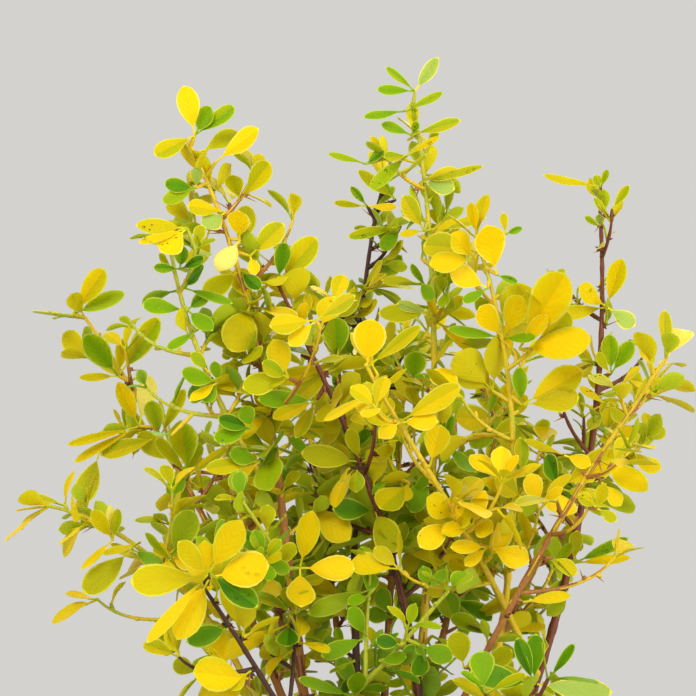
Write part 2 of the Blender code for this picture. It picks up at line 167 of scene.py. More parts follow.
def bezier(controls, count):
    """Points on the curve that these controls pull, by repeated mixing of neighbours."""
    share = np.linspace(0, 1, count)[:, None, None]
    rows = np.repeat(np.asarray(controls, float)[None], count, axis=0)
    while rows.shape[1] > 1:
        rows = rows[:, :-1] * (1 - share) + rows[:, 1:] * share
    return rows[:, 0]


def evenly(points, step):
    """The same path with its points a step apart along its length."""
    run = np.concatenate([[0], np.cumsum(np.linalg.norm(np.diff(points, axis=0), axis=1))])
    at = np.linspace(0, run[-1], max(round(run[-1] / step), 2) + 1)
    return np.stack([np.interp(at, run, points[:, axis]) for axis in range(3)], axis=1)


def axes_along(points):
    """Forward, side and rise at each point of a path that never turns back on its chord."""
    forward = unit(np.gradient(points, axis=0))
    level = np.eye(3)[np.argmin(np.abs(points[-1] - points[0]))]
    side = unit(np.cross(forward, level))
    return forward, side, np.cross(forward, side)


bow = evenly(bezier([(0, 0, 0), (0, 0, 0.1), (0.1, 0, 0.1)], 50), PATH_STEP)
print(f"a bow 100 mm wide and high has {len(bow)} points, {PATH_STEP / MM} mm apart")

# %% [markdown]
# All the main canes rise from one ball of wood, half sunk in the soil. Each foot starts where
# its cane's lean points, and then the feet push each other apart until all of them have room,
# as real shoots do when they crowd a rootstock.

# %% Cane paths
SEED = 7  # the source's, so that both grow alike
CLEAR = 0.0003  # between a solid and its neighbour
STOCK_RADIUS = 0.024
STOCK_SUNK = 0.008  # depth of the ball's middle under the soil
STOCK_MIDDLE = np.array([0, 0, -STOCK_SUNK])
FEET_APART = 0.34  # on a ball of radius one
LOWEST_FOOT = 0.45  # height on that ball
PUSH = 0.4  # of what is missing, in one round
PUSHES = 300
LIFT = 0.010  # length of the first, square run out of the rootstock, and out of another cane
FORK_LIFT = 0.006
FORK_CLEAR = 0.0005
CANE_TIP = 0.0013  # thickness
CANE_POINTS = 200


def feet_on_stock(table):
    """Direction from the ball's middle to each foot, pushed apart until all have room."""
    names = [name for name, cane in table.items() if cane.parent is None]
    feet = unit(np.array([table[name].low - STOCK_MIDDLE for name in names]))
    for _ in range(PUSHES):
        apart = feet[:, None] - feet[None]
        far = np.linalg.norm(apart, axis=2) + np.eye(len(feet))
        push = np.clip(FEET_APART - far, 0, None) * (1 - np.eye(len(feet)))
        feet = feet + PUSH * (apart / far[..., None] * push[..., None]).sum(axis=1)
        feet[:, 2] = np.maximum(feet[:, 2], LOWEST_FOOT)
        feet = unit(feet)
    return dict(zip(names, feet))


def cane_paths(table):
    """Axis points and radii of each cane, in the pot's frame. Those that fork come last, since
    each leaves its parent squarely, on the side that it leans to."""
    feet = feet_on_stock(table)
    base = UP * SOIL_TOP
    paths = {}
    for name in sorted(table, key=lambda name: table[name].parent is not None):
        cane = table[name]
        if cane.parent is None:
            foot = STOCK_MIDDLE + feet[name] * (STOCK_RADIUS + CLEAR)
            lift = feet[name] * LIFT
        else:
            points, radii = paths[cane.parent]
            place = round(cane.share * (len(points) - 1))
            forward = axes_along(points)[0][place]
            away = cane.low + base - points[place]
            away = unit(away - forward * (away @ forward))
            foot = points[place] + away * (radii[place] + FORK_CLEAR) - base
            lift = away * FORK_LIFT
        controls = [foot, foot + lift, cane.low, cane.high, cane.tip]
        points = evenly(bezier(controls, CANE_POINTS) + base, PATH_STEP)
        paths[name] = points, np.linspace(cane.foot, CANE_TIP, len(points)) / 2
    return {name: paths[name] for name in table}


PATHS = cane_paths(TABLE)
BARE = {name: round(TABLE[name].bare * (len(PATHS[name][0]) - 1)) for name in TABLE}
print(f"the canes measure {sum(len(path) for path, _ in PATHS.values()) * PATH_STEP:.2f} m in all")

# %% [markdown]
# Side twigs leave each stem by the golden angle, 137.5 degrees on from the one before, as the
# buds of a barberry do, and one that would come near another cane is turned on or left out.
# The seeds match the source's, so each twig here lies where its solid does.

# %% Side twigs
GOLDEN_TURN = np.radians(137.5)
TWIG_EVERY = 0.026
FIRST_TWIG = 0.014
TWIG_LENGTH = 0.050
TWIG_SHORTER = 0.7  # by this share at the stem's tip
TWIG_CHANCE = (0.7, 1.15)
TWIG_BEND = (0.55, 0.25)  # of its length: out from the stem and along it
TWIG_END = (0.72, 0.42, 0.22)  # the same, and up
TWIG_RADIUS = 0.0009
TWIG_TIP_RADIUS = 0.0005
TWIG_SPACE = 0.0085
TWIG_RING = 0.015  # between rings of the source's coarse tube
TWIG_TRIES = 5
TWIG_POINTS = 30


def least_distance(points, others):
    """Distance from each point to the nearest of the others."""
    return np.linalg.norm(points[:, None] - others[None], axis=2).min(axis=1)


def grow_twigs(number, stem, others):
    """Paths of the side twigs of one mass, clear of the other canes and their twigs."""
    forward, side, rise = axes_along(stem)
    chance = np.random.default_rng([SEED, number])
    end = (len(stem) - 1) * PATH_STEP
    turn = chance.uniform(0, 2 * np.pi)
    twigs = []
    for at in np.arange(FIRST_TWIG, end - FIRST_TWIG, TWIG_EVERY):
        place = round(at / PATH_STEP)
        root, ahead = stem[place], forward[place]
        length = TWIG_LENGTH * (1 - TWIG_SHORTER * at / end) * chance.uniform(*TWIG_CHANCE)
        turn += GOLDEN_TURN
        for attempt in range(TWIG_TRIES):
            spin = turn + attempt * GOLDEN_TURN
            out = side[place] * np.cos(spin) + rise[place] * np.sin(spin)
            bend = root + (out * TWIG_BEND[0] + ahead * TWIG_BEND[1]) * length
            tip = root + (out * TWIG_END[0] + ahead * TWIG_END[1] + UP * TWIG_END[2]) * length
            path = evenly(bezier([root, bend, tip], TWIG_POINTS), PATH_STEP)
            if least_distance(path[2:], others).min() > TWIG_SPACE:
                twigs.append(path)
                break
    return twigs


def as_solid(path):
    """The path with straight runs between the rings of the source's coarse tube."""
    rings = max(round((len(path) - 1) * PATH_STEP / TWIG_RING), 2) + 1
    places = np.linspace(0, len(path) - 1, rings).round().astype(int)
    return evenly(path[places], PATH_STEP)


TWIGS = {}
for number, name in enumerate(TABLE):
    stem = as_solid(PATHS[name][0][BARE[name] :])
    grown = [as_solid(twig) for mass in TWIGS.values() for twig in mass]
    others = np.vstack([*(PATHS[other][0] for other in TABLE if other != name), *grown])
    TWIGS[name] = grow_twigs(number, stem, others)
print(f"{sum(len(mass) for mass in TWIGS.values())} side twigs")

# %% [markdown]
# No two canes of a barberry look quite the same: one is in full sun and pale gold, the next is
# shaded and green. So each cane has its own look, read from the picture: how long and how broad
# its leaves are, how golden, how far apart its buds stand, and how its bark changes upward.

# %% Looks of the canes
Look = namedtuple("Look", "length breadth tone step low_bark high_bark leafy")
# Leaf length, breadth and tone, step between buds, bark tone low down and high up, and the share
# of the buds on the lower bough that bear leaves
LOOKS = {
    "west_low": (0.0225, 0.50, 4.8, 0.0095, 1, 4, 0.35),
    "west_reach": (0.0220, 0.48, 4.6, 0.0095, 1, 3, 0.45),
    "front_dark": (0.0250, 0.54, 5.2, 0.0110, 0, 0, 0.25),
    "west_tall": (0.0215, 0.52, 4.4, 0.0070, 1, 3, 0.40),
    "west_green": (0.0150, 0.54, 2.4, 0.0085, 3, 4, 0.90),
    "front_left": (0.0160, 0.56, 3.0, 0.0085, 3, 4, 0.90),
    "front_green": (0.0155, 0.56, 2.4, 0.0085, 4, 4, 0.90),
    "middle_bent": (0.0220, 0.54, 4.8, 0.0085, 0, 1, 0.60),
    "back_dark": (0.0200, 0.42, 3.4, 0.0070, 0, 0, 0.70),
    "tall_lime": (0.0200, 0.38, 3.9, 0.0058, 2, 4, 0.70),
    "gold_twig": (0.0215, 0.52, 6.2, 0.0100, 3, 3, 0.80),
    "east_gold": (0.0255, 0.60, 5.8, 0.0082, 3, 3.4, 0.60),
    "east_reach": (0.0225, 0.52, 4.6, 0.0085, 1, 3, 0.35),
    "east_tall": (0.0145, 0.36, 3.8, 0.0130, 1, 1, 0.10),
    "front_east": (0.0230, 0.54, 2.2, 0.0100, 0, 1, 0.40),
}
BACK_LOOK = (0.0205, 0.52, 3.9, 0.0066, 1, 3, 0.65)
SKIRT_LOOK = (0.0200, 0.52, 3.2, 0.0066, 1, 3, 0.70)


def look_of(name):
    """A cane's own look, or the look of the canes given by rule."""
    return Look(*LOOKS.get(name, BACK_LOOK if name.startswith("back") else SKIRT_LOOK))


tones = [look_of(name).tone for name in TABLE]
print(f"the greenest cane has tone {min(tones)}, the most golden {max(tones)}")

# %% [markdown]
# A barberry's leaves stand in tufts: each bud along a cane bears a short spur with four to
# eight leaves of mixed size, the outer ones long and spread wide, the inner ones short and
# upright. The young tips carry smaller tufts. A leaf is a row of numbers whose columns are
# named here, so that arrays of leaves can be shaped, tested and coloured at once.

# %% Tufts
ROOT, ALONG, ABOVE = slice(0, 3), slice(3, 6), slice(6, 9)
# The seventh of these columns is painted shade: how far the two halves of a blade differ in tone.
LONG, BROAD, WEDGE, FOLD, CURL, TONE, SHADED_HALF, WAVE = range(9, 17)
FIRST_BUD = (0.4, 0.9)  # in steps between buds
NEXT_BUD = (0.8, 1.25)
LAST_BUD = 0.003  # from the tip
YOUNG_END = 0.018  # length of the tip that carries small tufts
BUD_SWAY = 0.25  # of a bud from the golden angle, and of a leaf
LEAF_SWAY = 0.3
SPREAD = (74, 50, 12)  # degrees from the spur to the outermost leaf, less inside, chance
INWARD = -0.30  # a leaf that points back at its stem more than this is left out
SKYWARD = 0.55  # how much a leaf's face turns up to the light
ROLL = 28
LENGTHS = (1.08, 0.45)  # of the look's length for the outermost leaf, less inside
LEAF_SPREAD = 1.5  # steps of tone that a leaf may differ by from its tuft
# Chances of a leaf's length, breadth, wedge, fold, curl, painted shade between its halves, and wave
LONG_CHANCE, BROAD_CHANCE, WEDGE_CHANCE = (0.78, 1.15), (0.84, 1.16), (0.8, 1.2)
FOLD_CHANCE, CURL_CHANCE = (0.03, 0.26), (-0.75, 0.35)
SHADED_HALF_CHANCE, WAVE_CHANCE = (-0.9, 0.9), (0.2, 1)


def tufts_along(path, step, chance):
    """Place, stem direction, outward direction, share of the path, and whether it is young, of
    each bud along a path, turned on by the golden angle."""
    forward, side, rise = axes_along(path)
    length = (len(path) - 1) * PATH_STEP
    turn = chance.uniform(0, 2 * np.pi)
    at = step * chance.uniform(*FIRST_BUD)
    while at < length - LAST_BUD:
        place = round(at / PATH_STEP)
        turn += GOLDEN_TURN + chance.uniform(-BUD_SWAY, BUD_SWAY)
        out = side[place] * np.cos(turn) + rise[place] * np.sin(turn)
        yield path[place], forward[place], out, at / length, length - at < YOUNG_END
        at += step * chance.uniform(*NEXT_BUD)


def leaves_of_tuft(root, forward, out, size, look, tone, count, chance, lean):
    """The leaves round one spur that leans from its stem, as rows of numbers. From the outermost
    inward they turn by the golden angle, close up and get shorter."""
    spur = forward * np.cos(lean) + out * np.sin(lean)
    side = unit(np.cross(spur, forward + 0.01 * UP))
    rise = np.cross(side, spur)
    spin = chance.uniform(0, 2 * np.pi)
    rows = []
    for share in (np.arange(count) + 0.5) / count:
        spin += GOLDEN_TURN + chance.uniform(-LEAF_SWAY, LEAF_SWAY)
        opening = np.radians(SPREAD[0] - SPREAD[1] * share + chance.uniform(-SPREAD[2], SPREAD[2]))
        away = side * np.cos(spin) + rise * np.sin(spin)
        along = unit(spur * np.cos(opening) + away * np.sin(opening))
        if along @ out < INWARD:
            continue
        up = spur - along * (spur @ along)
        up = unit(up) + SKYWARD * UP
        up = unit(up - along * (up @ along))
        roll = np.radians(chance.uniform(-ROLL, ROLL))
        up = up * np.cos(roll) + np.cross(along, up) * np.sin(roll)
        long = look.length * size * (LENGTHS[0] - LENGTHS[1] * share) * chance.uniform(*LONG_CHANCE)
        broad = look.breadth * chance.uniform(*BROAD_CHANCE)
        wedge = chance.uniform(*WEDGE_CHANCE)
        fold = chance.uniform(*FOLD_CHANCE)
        curl = chance.uniform(*CURL_CHANCE)
        shade = tone + chance.uniform(-LEAF_SPREAD, LEAF_SPREAD)
        # painted shade between the two halves of the blade
        half_shade = chance.uniform(*SHADED_HALF_CHANCE)
        wave = chance.uniform(*WAVE_CHANCE)
        rows.append((*root, *along, *up, long, broad, wedge, fold, curl, shade, half_shade, wave))
    return rows


sample = tufts_along(PATHS["tall_lime"][0], look_of("tall_lime").step, np.random.default_rng(SEED))
print(f"a cane such as tall_lime has some {len(list(sample))} buds")

# %% [markdown]
# A golden barberry is golden only where the sun reaches its leaves, and green in its own
# shade. How far out and how high a leaf stands is a fair measure of the light that it gets.

# %% Light in the bush
CANOPY_MIDDLE = np.array([0, 0, SOIL_TOP + 0.120])
CANOPY_REACH = 0.150
CANOPY_SHAPE = (1, 1, 0.7)
HIGHER_IS_SUNNIER = 0.4


def sunlight(point):
    """From -1 in the shaded middle to 1 at the outermost and highest leaves."""
    away = np.linalg.norm((point - CANOPY_MIDDLE) * CANOPY_SHAPE) / CANOPY_REACH
    higher = HIGHER_IS_SUNNIER * (point[2] - CANOPY_MIDDLE[2]) / CANOPY_REACH
    return float(np.clip(2 * away - 1 + higher, -1, 1))


lights = [sunlight(path[-1]) for path, _ in PATHS.values()]
print(f"sunlight at the canes' tips is {min(lights):.2f} to {max(lights):.2f}")

# %% [markdown]
# Growing first makes one plain list of tufts, and each kind of piece, such as leaves, bark or
# spines, is then made from it in one go. A spur is a row of numbers too: where it starts and
# ends, the way it faces, and the bark it has. About a third of the spurs have grown out into
# short shoots, with a second tuft halfway. Leaves are greener deep inside and low down.

# %% Growing the tufts
FOOT, END, OUT, BARK = slice(0, 3), slice(3, 6), slice(6, 9), 9
SPUR_LEAN = np.radians(58)  # from the stem to the spur that carries a tuft
YOUNG_LEAN = 0.75  # of that
SPUR_FOOT = 0.6  # how far out from the stem's middle it starts, in radii
SPUR_LENGTH = (0.0012, 0.0030)
SHOOT_LENGTH = (0.0060, 0.0130)
SHOOT_SHARE = 0.34
TUFT_LEAVES = (4, 8)
TIP_LEAVES = (5, 8)
FEW_LEAVES = 3  # in a young tuft, or halfway up a shoot
TIP_BUDS = 3  # innermost leaves that every tip keeps
TWIG_LEAF, BOUGH_LEAF, TIP_LEAF = 0.86, 0.8, 0.92  # relative sizes of the leaves there
HALFWAY_LEAF = 0.8
LEAF_TAPER = 0.12  # by this share smaller at the end of a path
BOUGH_TUFTS_ABOVE = SOIL_TOP + 0.045
GREENER_INSIDE = 0.9  # steps of tone from the mean to the shaded middle or the sunlit outside
TUFT_SPREAD = 1.3  # steps of tone that one tuft may differ by


def parts_with_buds(name):
    """Path, radii, leaf size, and whether all buds bear leaves, of each part of a cane: its
    stem, its side twigs and last its bough."""
    points, radii = PATHS[name]
    bare = BARE[name]
    parts = [(points[bare:], radii[bare:], 1.0, True)]
    for twig in TWIGS[name]:
        parts.append((twig, np.linspace(TWIG_RADIUS, TWIG_TIP_RADIUS, len(twig)), TWIG_LEAF, True))
    return [*parts, (points[: bare + 1], radii[: bare + 1], BOUGH_LEAF, False)]


def grow_tufts(name, number):
    """Leaf rows and spurs of one cane. The innermost leaves at each tip come third, because
    they always stay."""
    chance = np.random.default_rng([SEED, number, 2])
    look = look_of(name)
    leaves, spurs, buds = [], [], []
    for path, radii, size, leafy in parts_with_buds(name):
        for place, forward, out, share, young in tufts_along(path, look.step, chance):
            if not leafy and (place[2] < BOUGH_TUFTS_ABOVE or chance.uniform() > look.leafy):
                continue
            lean = SPUR_LEAN * (YOUNG_LEAN if young else 1.0)
            spur = forward * np.cos(lean) + out * np.sin(lean)
            foot = place + out * radii[round(share * (len(path) - 1))] * SPUR_FOOT
            grown_out = not young and chance.uniform() < SHOOT_SHARE
            end = foot + spur * chance.uniform(*(SHOOT_LENGTH if grown_out else SPUR_LENGTH))
            count = FEW_LEAVES if young else chance.integers(TUFT_LEAVES[0], TUFT_LEAVES[1] + 1)
            tone = look.tone + GREENER_INSIDE * sunlight(place)
            tone = tone + chance.uniform(-TUFT_SPREAD, TUFT_SPREAD)
            tufts = [(end, size * (1.0 - LEAF_TAPER * share), count)]
            if grown_out:
                tufts.append(((foot + end) / 2, size * HALFWAY_LEAF, FEW_LEAVES))
            for root, scale, number_of in tufts:
                leaves += leaves_of_tuft(
                    root, forward, out, scale, look, tone, number_of, chance, lean
                )
            bark = look.low_bark + (look.high_bark - look.low_bark) * share
            spurs.append((*foot, *end, *out, bark))
        if leafy:
            forward, out = (axis[-1] for axis in axes_along(path)[:2])
            count = chance.integers(TIP_LEAVES[0], TIP_LEAVES[1] + 1)
            tone = look.tone + GREENER_INSIDE * sunlight(path[-1])
            tip = path[-1], forward, out, size * TIP_LEAF, look, tone, count, chance, 0.0
            rows = leaves_of_tuft(*tip)
            leaves += rows[:-TIP_BUDS]
            buds += rows[-TIP_BUDS:]
    return leaves, spurs, buds


TUFTS = {name: grow_tufts(name, number) for number, name in enumerate(TABLE)}
grown, borne = (sum(len(tufts[kind]) for tufts in TUFTS.values()) for kind in (0, 1))
print(f"{grown} leaves in {borne} tufts")

# %% [markdown]
# The tufts that the picture shows most clearly are set one by one, as a botanist would draw
# them: where each sits, and for each of its leaves the tip, the width and the tone. All places
# here are columns and rows of the picture.

# %% Tufts seen in the picture
# Place of the tuft, and for each leaf the place of its tip, its width and its tone
SEEN = {
    # the tall cane on the left
    (195, 135): ((186, 89, 23, 8), (211, 107, 20, 1.8), (235, 108, 17, 2.5), (155, 157, 20, 4.5)),
    (216, 162): ((258, 131, 23, 7.5),),
    (196, 188): ((165, 185, 17, 1), (164, 203, 15, 3), (198, 167, 13, 10)),
    (240, 201): ((231, 171, 19, 4), (270, 162, 25, 4.5)),
    (226, 212): ((203, 230, 22, 10), (187, 206, 18, 5.5)),
    (187, 228): ((137, 226, 17, 5), (140, 247, 10, 6), (163, 254, 28, 7)),
    (240, 240): ((218, 272, 23, 9), (238, 211, 24, 7)),
    (250, 256): ((283, 224, 23, 4.5), (256, 274, 12, 7.5)),
    (278, 281): ((318, 239, 28, 4.5), (285, 240, 17, 1)),
    (240, 271): ((205, 296, 24, 4), (262, 290, 15, 0.5)),
    # the green side cane in front of it
    (180, 269): ((155, 268, 11, 1.5), (183, 246, 15, 1.5), (203, 258, 13, 0.5)),
    (187, 310): ((144, 305, 18, 2), (213, 331, 18, 2), (209, 293, 15, 1.5)),
    (196, 331): ((168, 350, 11, 2), (216, 318, 9, 2)),
    (184, 288): ((208, 262, 16, 0.5), (232, 302, 10, 2)),
    (218, 382): ((178, 373, 20, 1.8), (215, 361, 12, 1.8), (203, 403, 16, 1.8), (189, 403, 12, 7)),
    (252, 428): ((216, 419, 17, 0.8), (215, 440, 19, 2), (244, 406, 18, 2)),
    (260, 461): ((228, 452, 20, 1.8), (229, 484, 10, 7), (205, 467, 17, 4.5)),
    # the cane that reaches left, and the low one under it
    (73, 314): ((107, 270, 22, 5.5), (125, 293, 18, 3)),
    (118, 376): ((164, 318, 24, 3.6), (125, 337, 13, 5), (86, 333, 25, 2), (80, 378, 9, 5)),
    (139, 426): ((151, 377, 20, 9), (119, 382, 17, 6.5), (71, 445, 10, 5.5), (78, 458, 10, 6)),
    (160, 437): ((152, 399, 20, 2.8), (187, 387, 13, 4), (104, 452, 19, 4.5)),
    (189, 475): ((182, 418, 30, 3.2), (156, 437, 14, 4), (227, 447, 10, 4.5), (166, 495, 17, 2.4)),
    (100, 452): ((82, 502, 26, 4),),
    (113, 540): ((110, 504, 10, 9), (93, 508, 16, 5), (83, 568, 8, 6.5), (119, 508, 12, 3.5)),
    (132, 549): ((86, 592, 27, 4), (163, 566, 16, 2.3)),
    # the tall lime cane
    (415, 91): ((438, 59, 14, 10), (386, 68, 9, 2.5), (377, 91, 12, 2)),
    (405, 111): ((364, 118, 10, 2), (443, 93, 10, 3)),
    (412, 135): ((382, 124, 12, 2), (460, 121, 13, 3.5), (418, 121, 8, 2.5)),
    (408, 155): ((438, 137, 7, 6), (369, 190, 14, 3), (380, 159, 12, 3.5)),
    (366, 164): ((330, 154, 8, 3), (383, 150, 9, 1.5)),
    (422, 181): ((484, 169, 9, 4), (457, 170, 14, 4.5), (454, 189, 21, 10)),
    (367, 206): ((333, 205, 8, 4), (351, 187, 8, 1.5), (397, 208, 9, 7)),
    (424, 231): ((404, 197, 20, 4.5), (485, 218, 11, 4.5), (400, 234, 8, 6)),
    (401, 226): ((349, 237, 12, 3.5), (382, 251, 16, 2)),
    (396, 200): ((358, 172, 14, 3.8), (376, 178, 11, 2.5)),
    (430, 313): ((378, 315, 20, 4), (398, 303, 12, 10)),
    # the golden cane on the right
    (497, 275): ((484, 222, 33, 6.7), (517, 282, 8, 1.5)),
    (475, 259): ((450, 234, 24, 6.5), (430, 263, 24, 6.3)),
    (488, 288): ((450, 270, 24, 7), (462, 303, 11, 2)),
    (503, 338): ((475, 303, 24, 7), (521, 294, 28, 6), (447, 329, 12, 2), (539, 337, 14, 2)),
    (519, 349): ((568, 268, 42, 6.3), (593, 340, 35, 6.6), (548, 312, 16, 7.5)),
    (607, 307): ((575, 287, 22, 6.3), (560, 315, 16, 5), (619, 259, 20, 5.5), (634, 326, 20, 10)),
    (506, 234): ((522, 228, 8, 1.5), (502, 213, 9, 5)),
    (601, 187): ((537, 180, 9, 4.8), (594, 176, 10, 3.5), (607, 170, 7, 3)),
    (612, 209): ((628, 186, 9, 3.5),),
    (600, 227): ((585, 217, 7, 3), (599, 211, 9, 10)),
    # the bent golden twig in the middle
    (367, 367): ((371, 319, 33, 6.8), (421, 326, 14, 4.5)),
    (377, 391): ((407, 369, 6, 5), (324, 418, 10, 6.5)),
    (400, 422): ((354, 414, 19, 4.8), (372, 443, 16, 7), (458, 385, 24, 5.2), (437, 421, 19, 7)),
    (430, 466): ((440, 425, 26, 6.5),),
    (454, 520): ((420, 543, 26, 7), (425, 496, 26, 6)),
    (488, 547): ((449, 545, 15, 6.8), (465, 564, 13, 6.8), (528, 562, 26, 7.5)),
    # the middle
    (337, 364): ((335, 317, 28, 2.5), (277, 382, 19, 5.5), (292, 399, 22, 4.3)),
    (316, 320): ((355, 296, 18, 4.5), (270, 327, 22, 5.5), (290, 345, 18, 7)),
    (317, 400): ((296, 438, 14, 4.2), (268, 420, 16, 5.5), (256, 398, 20, 2)),
    (361, 462): ((347, 428, 16, 4), (399, 448, 17, 5.2), (301, 453, 24, 4.2)),
    (412, 382): ((417, 350, 23, 2.2),),
    (475, 380): ((420, 377, 14, 1.8),),
    (410, 483): ((376, 510, 30, 4.8), (400, 500, 20, 6.5)),
    # the right
    (503, 420): ((449, 416, 30, 5.3), (468, 447, 22, 3)),
    (489, 404): ((518, 385, 18, 6.5),),
    (522, 405): ((583, 371, 32, 5.5), (576, 397, 27, 5.3), (517, 367, 16, 2)),
    (607, 405): ((579, 387, 9, 6), (626, 421, 16, 4)),
    (611, 374): ((609, 334, 18, 2.5), (630, 342, 18, 1.8), (594, 352, 12, 4)),
    (597, 508): ((604, 484, 14, 5), (578, 493, 13, 4.5), (615, 520, 12, 4)),
    (524, 499): ((479, 478, 12, 6.5), (490, 474, 26, 4.5)),
    (558, 488): ((558, 514, 34, 7.3), (616, 452, 30, 5.5), (612, 501, 17, 4.5), (545, 450, 20, 0.8)),
    (564, 455): ((590, 465, 15, 7), (524, 439, 9, 5)),
    # the dark cane low on the left
    (210, 577): ((132, 581, 34, 4.8), (270, 564, 38, 7), (178, 638, 30, 6.2), (177, 540, 22, 4.8)),
    (209, 573): ((205, 540, 17, 5.8), (241, 521, 30, 5.8), (150, 638, 14, 6.2), (258, 604, 26, 0.8)),
    (171, 560): ((154, 543, 14, 5.8), (195, 506, 28, 3), (143, 530, 9, 3)),
    (231, 627): ((188, 640, 22, 1),),
    (252, 679): ((188, 669, 36, 6.2),),
    (289, 624): ((217, 655, 20, 6), (287, 648, 24, 0.5)),
    # low in the middle and on the right
    (300, 568): ((353, 566, 27, 6.8), (301, 606, 30, 7), (313, 510, 24, 5.8)),
    (308, 505): ((354, 542, 29, 6),),
    (375, 588): ((308, 613, 20, 3.2),),
    (377, 511): ((334, 507, 24, 0.8),),
    (394, 618): ((376, 588, 20, 1.8), (366, 613, 17, 2), (440, 610, 17, 1.8), (410, 577, 9, 1.8)),
    (367, 637): ((350, 606, 18, 1.8), (322, 655, 18, 2)),
    (428, 588): ((423, 566, 14, 1.8), (447, 570, 12, 1.8)),
    (379, 661): ((408, 654, 14, 2.2),),
    (354, 697): ((360, 667, 20, 2), (300, 676, 12, 2)),
    (459, 626): ((532, 586, 16, 5), (442, 590, 24, 2.6)),
    (464, 668): ((456, 632, 24, 4.2), (482, 654, 9, 5)),
    (523, 602): ((570, 594, 12, 5.8),),
    (534, 684): ((517, 637, 17, 0.8), (535, 633, 20, 1), (469, 671, 26, 1), (611, 692, 24, 10)),
    (574, 563): ((628, 538, 12, 2.3), (628, 556, 10, 6.5), (575, 525, 14, 4)),
}
print(f"{sum(len(tips) for tips in SEEN.values())} leaves in {len(SEEN)} tufts seen")

# %% [markdown]
# The picture also shows openings in the foliage, where the light comes through. A leaf that
# grew by rule must not close one, so each opening is written down as a small disc.

# %% Openings
# Column, row and reach of the openings through which the picture shows what is behind
OPENINGS = np.array([
    (105, 648, 34), (150, 600, 14), (130, 486, 26), (165, 362, 18), (95, 402, 14), (200, 425, 7),
    (603, 585, 30), (598, 640, 26), (604, 530, 12), (532, 576, 12), (548, 519, 11), (550, 430, 18),
    (534, 366, 11), (555, 225, 38), (466, 290, 6), (408, 457, 11), (391, 563, 8), (437, 628, 13),
    (478, 650, 10), (238, 661, 9), (325, 212, 34), (318, 130, 60), (404, 187, 9), (480, 200, 12),
    (590, 270, 11), (120, 240, 30), (95, 560, 10), (500, 120, 60), (340, 620, 6), (285, 690, 8),
    (350, 266, 14), (330, 266, 7), (518, 264, 16), (150, 204, 10), (189, 344, 9), (172, 285, 8),
    (250, 658, 9), (299, 650, 5), (558, 622, 9), (560, 650, 11), (530, 570, 12),
    (500, 584, 6), (412, 255, 8), (401, 408, 5), (439, 465, 6), (208, 413, 6), (215, 481, 6),
    (147, 512, 8), (144, 541, 6), (392, 328, 5), (425, 328, 5), (100, 324, 10), (76, 374, 6),
    (536, 412, 8), (412, 636, 6), (176, 128, 8), (617, 216, 8), (566, 516, 8),
    (150, 662, 13), (470, 203, 9), (285, 201, 8), (118, 328, 6), (162, 471, 8), (572, 431, 7),
    (543, 427, 6), (536, 564, 8), (83, 600, 8),
])
print(f"{len(OPENINGS)} openings stay free")

# %% [markdown]
# A point in space shows where the line from it to the lens crosses the picture. Similar
# triangles give its column and row, and once its depth is known they also lead back.

# %% Between picture and space
PER_METRE = PIXELS_PER_MM / MM


def in_picture(points):
    """Column, row and scale at each point, by similar triangles from the camera."""
    scale = PER_METRE * VIEW_DISTANCE / (VIEW_DISTANCE + points[:, 1])
    column = PHOTO_SIDE / 2 + (points[:, 0] - VIEW_X) * scale
    return np.stack([column, PHOTO_SIDE / 2 - (points[:, 2] - VIEW_Z) * scale, scale], axis=1)


def from_picture(column, row, depth):
    """The point at this depth that shows at this column and row."""
    scale = PER_METRE * VIEW_DISTANCE / (VIEW_DISTANCE + depth)
    half = PHOTO_SIDE / 2
    return np.array([VIEW_X + (column - half) / scale, depth, VIEW_Z - (row - half) / scale])


column, row, _ = in_picture(PATHS["tall_lime"][0][-1:])[0]
print(f"the tip of tall_lime shows at column {column:.0f}, row {row:.0f}")

# %% [markdown]
# A picture has no depth, but wood does: a tuft hangs on the cane or twig that shows nearest to
# it, by a short shoot where that is a little way off, and its leaves spread at that depth.
# Where a leaf looks too wide for its length, it leans towards the camera until it is long
# enough, because only its slant makes it look short.

# %% Setting the tufts
SHOOT_FROM = 5  # wood this much further off than the nearest still counts, if it is in front
SHOOT_SLOPE = 0.3  # how far a shoot comes forward, in the length that shows
WIDEST_LEAF = 0.70  # of its length; one that looks wider is seen at a slant
BLADE_MIDDLE = 0.60  # of a leaf's length
BLADE_HALF = (0.42, 0.5)  # reach from there, of its length and of its width
WOOD_NEAR = 0.005  # wood this near a leaf's own depth would cut through its blade
WOOD_CLEAR = 0.0025
SEEN_LONGER = (1.0, 1.12)  # a leaf is a little longer than it shows
SEEN_ASIDE = 0.3  # how far its face may turn from the camera
SEEN_SKYWARD = 0.4
SEEN_FOLD = (0.02, 0.16)
SEEN_CURL = (-0.2, 0.2)
EVEN_TONE = 8  # from this tone on, both halves are alike, with no painted shade between them
BARK_REACH = 0.25  # height over which a shoot's bark turns from low to high


def clear_depth(place, tip, width, depth, wood, shown):
    """Depth of a leaf's tip that brings its blade in front of the wood it would cut through."""
    reach = np.subtract(tip, place)
    long = np.hypot(*reach)
    offset = shown[:, :2] - place - reach * BLADE_MIDDLE
    along = np.abs(offset @ reach) / long
    across = np.abs(offset @ (reach[::-1] * (1, -1))) / long
    cuts = (along < BLADE_HALF[0] * long) & (across < BLADE_HALF[1] * width)
    cuts &= np.abs(wood[:, 1] - depth) < WOOD_NEAR
    front = wood[cuts, 1].min(initial=depth + WOOD_CLEAR) - WOOD_CLEAR
    return depth + (front - depth) / BLADE_MIDDLE


